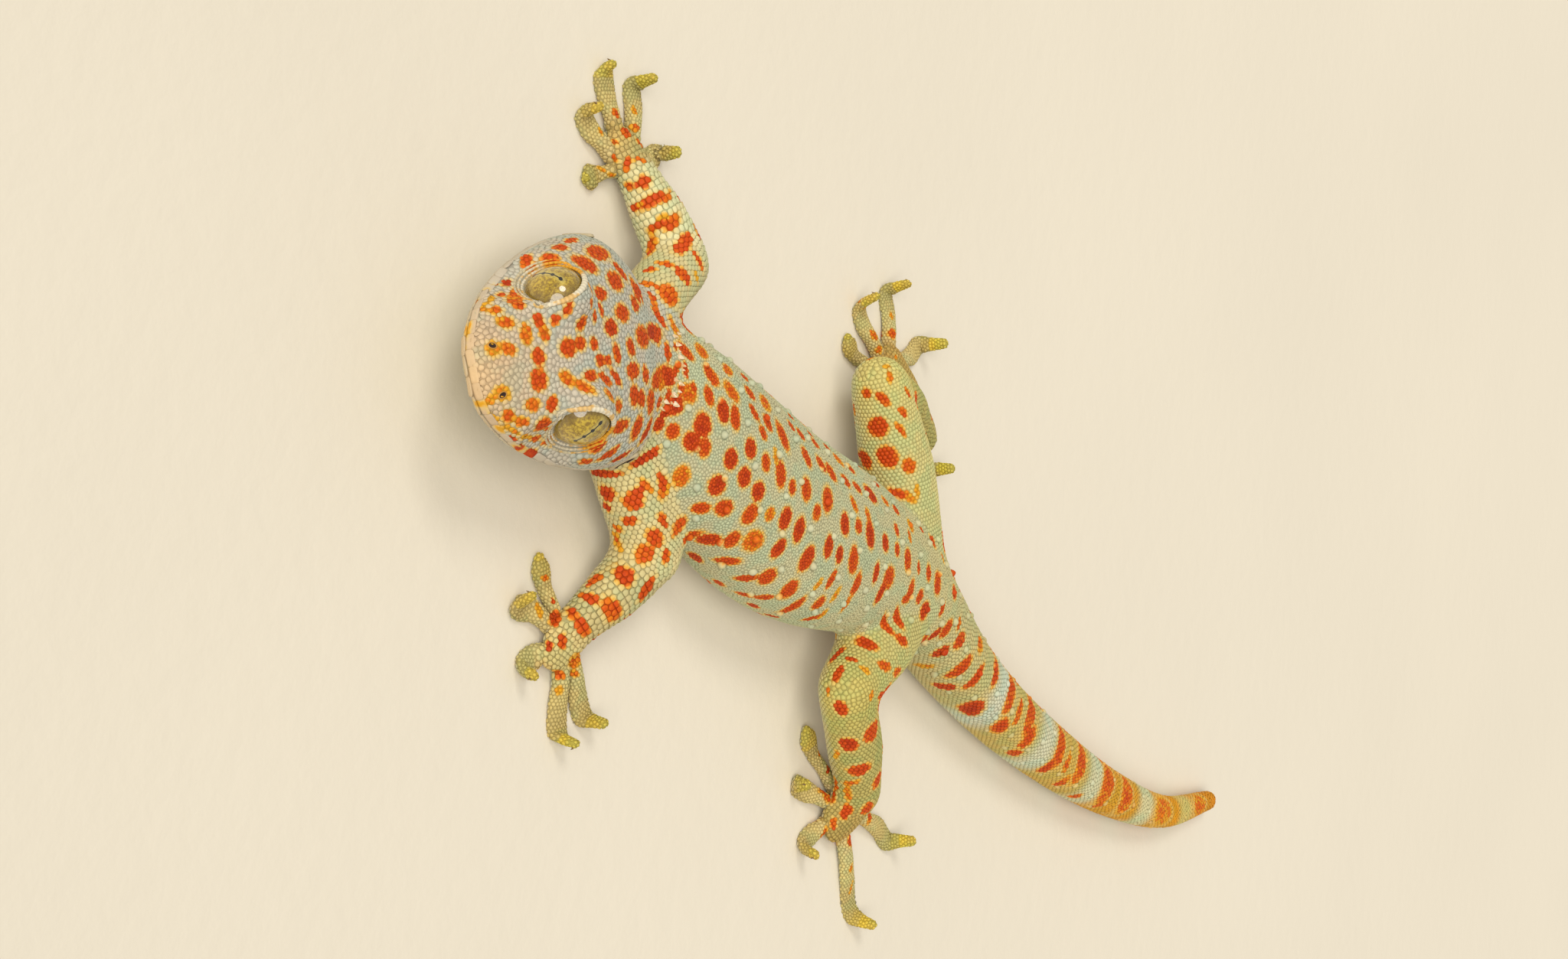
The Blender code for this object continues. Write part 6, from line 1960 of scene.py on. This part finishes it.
class GECKO_OT_openings(bpy.types.Operator):
    """Nostrils and ears: low cups in the hide, their middle painted dark as the shade inside the opening"""

    bl_idname = "gecko.openings"
    bl_label = "Nostrils and ears"

    def execute(self, context):
        tree = skin_tree()
        for what, (back, out, up), size, colour in (
            ("nostril", NOSTRIL, (0.36, 0.56), (208, 148, 60)),
            ("ear", EAR, (0.75, 1.8), (204, 186, 146)),
        ):
            material = self.finish(what, colour)
            for side, word in ((1, "left"), (-1, "right")):
                place, normal, _ = onto_skin(tree, from_head([[-back, side * out, up]]))
                cup = self.cup("%s_%s" % (what, word), place[0], normal[0], size)
                give(cup, material)
                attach(cup, "root")
        return {"FINISHED"}

    def cup(self, name, place, normal, size):
        """A low ring round a shallow dip: a profile of share of the size and height, carried round an oval. Its middle
        is painted dark, a painted shade in place of the opening's depth.
        """
        profile = np.array(
            [(1.45, -0.3), (1.32, 0.10), (1.12, 0.16), (0.98, 0.13), (0.85, 0.08), (0.6, 0.04), (0.25, 0.03)]
        )
        up = HEAD[:3, :3] @ np.array([0.0, 0.0, 1.0])
        first = up - up.dot(normal) * normal
        first /= np.linalg.norm(first)
        second = np.cross(normal, first)
        turn = (np.arange(32) * 2 * np.pi / 32)[None, :]
        share = profile[:, 0][:, None]
        high = profile[:, 1][:, None] + 0 * turn
        grid = (
            place
            + (share * size[1] * np.cos(turn))[..., None] * first
            + (share * size[0] * np.sin(turn))[..., None] * second
            + high[..., None] * normal
        )
        points = closed_grid(grid)
        faces = grid_faces(grid.shape[0], grid.shape[1])
        cup = put_mesh(name, to_metres(points), faces)
        # Painted shade: how dark each ring of the cup is, black in the middle.
        dark = np.concatenate([np.repeat([0.0, 0.0, 0.0, 0.4, 0.9, 1.0, 1.0], 32), [0.0, 1.0]])
        set_float(cup.data, "hollow_shade", dark)
        return cup

    def finish(self, name, colour):
        finish = Finish(name, Metallic=0.0, IOR=1.42)
        hollow_shade = finish.attribute("hollow_shade")
        grain = finish.noise(2400.0, 2.0)
        rim = finish.shade(finish.mix(linear(colour), linear(colour) * 0.7, grain), 1.0)
        # Painted shade: the middle of the cup is near black.
        finish.feed("Base Color", finish.mix(rim, (0.030, 0.014, 0.010), hollow_shade.step(0.2, 0.9)))
        finish.feed("Roughness", 0.5 + hollow_shade * 0.3)
        return finish.material


# The fold of the nape: its path over the shoulders as distance along the spine and turn round it in degrees.
NAPE = ((5.5, 55), (6.0, 66), (7.0, 77), (8.2, 86), (9.2, 95), (9.4, 101), (8.6, 107), (8.0, 113), (7.0, 119))
NAPE_CONES = 20


class GECKO_OT_nape(bpy.types.Operator):
    """A jagged row of small cream cones along the fold of the nape"""

    bl_idname = "gecko.nape"
    bl_label = "Nape"

    def execute(self, context):
        spine = body_forms(context.scene.gecko_skin.inset / MM)["spine"]
        random = np.random.default_rng(9)
        share = np.linspace(0.0, len(NAPE) - 1.0, NAPE_CONES)
        along, turn = (np.interp(share, np.arange(len(NAPE)), [row[k] for row in NAPE]) for k in (0, 1))
        along = along + random.uniform(-0.9, 0.9, NAPE_CONES)
        turn = np.radians(turn + random.uniform(-2.5, 2.5, NAPE_CONES))
        places, normals, _ = onto_skin(skin_tree(), spine.at(along, turn))
        ways, beside = frames_at(normals, spine.at(along + 0.3, turn) - spine.at(along, turn))
        points, faces = [], []
        count = 0
        for place, normal, way, side in zip(places, normals, ways, beside):
            shape = closed_grid(self.cone(place, normal, way, side, random.uniform(0.5, 1.2)))
            points.append(shape)
            faces.append(grid_faces(6, 10, count))
            count += len(shape)
        nape = put_mesh("nape_cones", to_metres(np.concatenate(points)), np.concatenate(faces))
        finish = Finish("nape", Metallic=0.0, IOR=1.42)
        grain = finish.noise(1500.0, 3.0)
        finish.feed("Base Color", finish.mix(linear((234, 218, 184)), linear((214, 170, 112)), grain.step(0.36, 0.60)))
        finish.feed("Roughness", 0.42 + grain * 0.2)
        give(nape, finish.material)
        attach(nape, "root")
        return {"FINISHED"}

    def cone(self, place, normal, way, side, size):
        """A cone that leans towards the tail: radius 0.42 * (1 - t^1.4), at 0.6 * t up and 0.7 * t back."""
        t = np.linspace(0.0, 0.96, 6)[:, None, None]
        turn = (np.arange(10) * 2 * np.pi / 10)[None, :, None]
        middle = place + size * ((0.6 * t - 0.1) * normal + 0.7 * t * way)
        ring = np.cos(turn) * way + np.sin(turn) * side
        return middle + size * 0.42 * (1 - t**1.4) * ring


class GECKO_OT_claws(bpy.types.Operator):
    """Small hooked claws under the raised tips of the digits"""

    bl_idname = "gecko.claws"
    bl_label = "Claws"

    def execute(self, context):
        points, faces = [], []
        count = 0
        for name, digits in DIGITS.items():
            for digit in digits[1:]:
                grid = self.claw(digit)
                shape = closed_grid(grid)
                points.append(shape)
                faces.append(grid_faces(grid.shape[0], grid.shape[1], count))
                count += len(shape)
        claws = put_mesh("claws", to_metres(np.concatenate(points)), np.concatenate(faces))
        finish = Finish("claw", Metallic=0.0, IOR=1.5)
        grain = finish.noise(1800.0, 2.0)
        finish.feed("Base Color", finish.mix(linear((150, 118, 66)), linear((84, 60, 34)), grain))
        finish.feed("Roughness", 0.3 + grain * 0.2)
        give(claws, finish.material)
        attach(claws, "root")
        return {"FINISHED"}

    def claw(self, digit):
        """A hook: its path bends down on a quarter circle past the tip while its radius falls to a point."""
        rows = digit_rows(digit)
        end, tip = np.array(rows[-3][:3]), np.array(rows[-1][:3])
        way = tip - end
        way[2] = 0.0
        way /= np.linalg.norm(way)
        bend = np.linspace(0.0, 1.25, 9)[:, None]
        path = tip + way * (0.35 + 0.62 * np.sin(bend)) - np.array([0, 0, 0.75]) * (1 - np.cos(bend))
        radius = 0.19 * (1 - (bend / 1.32) ** 1.5)
        left = np.cross([0, 0, 1.0], way)
        up = np.cos(bend) * np.array([0, 0, 1.0]) + np.sin(bend) * way
        turn = (np.arange(10) * 2 * np.pi / 10)[None, :, None]
        ring = np.cos(turn) * left + 1.25 * np.sin(turn) * up[:, None, :]
        return path[:, None, :] + radius[:, :, None] * ring


class GECKO_OT_stage(bpy.types.Operator):
    """Pale floor, soft light and the camera at the photograph's viewing angle"""

    bl_idname = "gecko.stage"
    bl_label = "Stage"

    def execute(self, context):
        settings = context.scene.gecko_stage
        self.camera(context.scene)
        self.floor(settings)
        self.lights(context.scene, settings)
        return {"FINISHED"}

    def camera(self, scene):
        """The camera looks ahead and down, and is rolled a quarter turn, so that the floor's ahead is its right."""
        ahead, right, up = camera_axes()
        data = bpy.data.cameras.new("camera")
        data.sensor_width = 36.0
        data.lens = FOCAL / PHOTO_SIZE[0] * 36.0
        data.clip_start = 0.01
        data.clip_end = 10.0
        camera = bpy.data.objects.new("camera", data)
        turn = Matrix((right, up, -ahead)).transposed().to_4x4()
        camera.matrix_world = Matrix.Translation(Vector(to_metres(camera_place()))) @ turn
        scene.collection.objects.link(camera)
        scene.camera = camera

    def floor(self, settings):
        """A wide level sheet with a gentle grain of plaster."""
        reach = 1.6
        corners = np.array([(-reach, -reach, 0), (reach, -reach, 0), (reach, reach, 0), (-reach, reach, 0)], float)
        floor = put_mesh("floor", corners, [(0, 1, 2, 3)], smooth=False)
        finish = Finish("floor", Metallic=0.0, Roughness=0.85)
        grain = finish.noise(180.0, 4.0, 0.6)
        wide = finish.noise(9.0, 2.0)
        colour = finish.shade(finish.mix(tuple(settings.floor), tuple(settings.floor), 0.5), 0.96 + wide * 0.08)
        finish.feed("Base Color", colour)
        finish.bump(grain, 0.0004, 0.35)
        give(floor, finish.material)

    def lights(self, scene, settings):
        """A broad light from the camera's side, a smaller one from the animal's right, and light all round."""
        self.lamp(scene, "front", (0.09, -0.26, 0.25), settings.front_strength, 44.0)
        self.lamp(scene, "key", (-0.26, -0.32, 0.42), settings.key_strength, 20.0)
        world = bpy.data.worlds.new("world")
        world.use_nodes = True
        sky = world.node_tree.nodes["Background"]
        sky.inputs["Color"].default_value = (1.0, 0.965, 0.91, 1.0)
        sky.inputs["Strength"].default_value = settings.fill
        scene.world = world
        scene.view_settings.view_transform = "Standard"

    def lamp(self, scene, name, place, strength, angle):
        """A distant lamp in the direction of a place, as wide in the sky as an angle in degrees."""
        data = bpy.data.lights.new(name, "SUN")
        data.angle = math.radians(angle)
        data.energy = strength
        data.color = (1.0, 0.985, 0.96)
        lamp = bpy.data.objects.new(name, data)
        lamp.location = place
        aim = Vector((0.0, -0.02, 0.0)) - lamp.location
        lamp.rotation_euler = aim.to_track_quat("-Z", "Y").to_euler()
        scene.collection.objects.link(lamp)


OPERATORS = (
    GECKO_OT_skin,
    GECKO_OT_scales,
    GECKO_OT_eyes,
    GECKO_OT_lids,
    GECKO_OT_lips,
    GECKO_OT_openings,
    GECKO_OT_nape,
    GECKO_OT_claws,
    GECKO_OT_stage,
)
SETTINGS = {
    "gecko_skin": GeckoSkinSettings,
    "gecko_scales": GeckoScaleSettings,
    "gecko_markings": GeckoMarkingSettings,
    "gecko_stage": GeckoStageSettings,
}


class GECKO_PT_panel(bpy.types.Panel):
    """The gecko's operators and settings"""

    bl_idname = "GECKO_PT_panel"
    bl_label = "Tokay gecko"
    bl_space_type = "VIEW_3D"
    bl_region_type = "UI"
    bl_category = "Gecko"

    def draw(self, context):
        for operator in OPERATORS:
            self.layout.operator(operator.bl_idname)
        for name, group in SETTINGS.items():
            box = self.layout.box()
            for key in group.__annotations__:
                box.prop(getattr(context.scene, name), key)


def register():
    for group in SETTINGS.values():
        bpy.utils.register_class(group)
    for name, group in SETTINGS.items():
        setattr(bpy.types.Scene, name, PointerProperty(type=group))
    for operator in OPERATORS:
        bpy.utils.register_class(operator)
    bpy.utils.register_class(GECKO_PT_panel)


def unregister():
    bpy.utils.unregister_class(GECKO_PT_panel)
    for operator in OPERATORS:
        bpy.utils.unregister_class(operator)
    for name, group in SETTINGS.items():
        delattr(bpy.types.Scene, name)
        bpy.utils.unregister_class(group)


def main():
    register()
    bpy.ops.gecko.skin()
    bpy.ops.gecko.scales()
    bpy.ops.gecko.eyes()
    bpy.ops.gecko.lids()
    bpy.ops.gecko.lips()
    bpy.ops.gecko.openings()
    bpy.ops.gecko.nape()
    bpy.ops.gecko.claws()
    bpy.ops.gecko.stage()


if __name__ == "__main__":
    main()
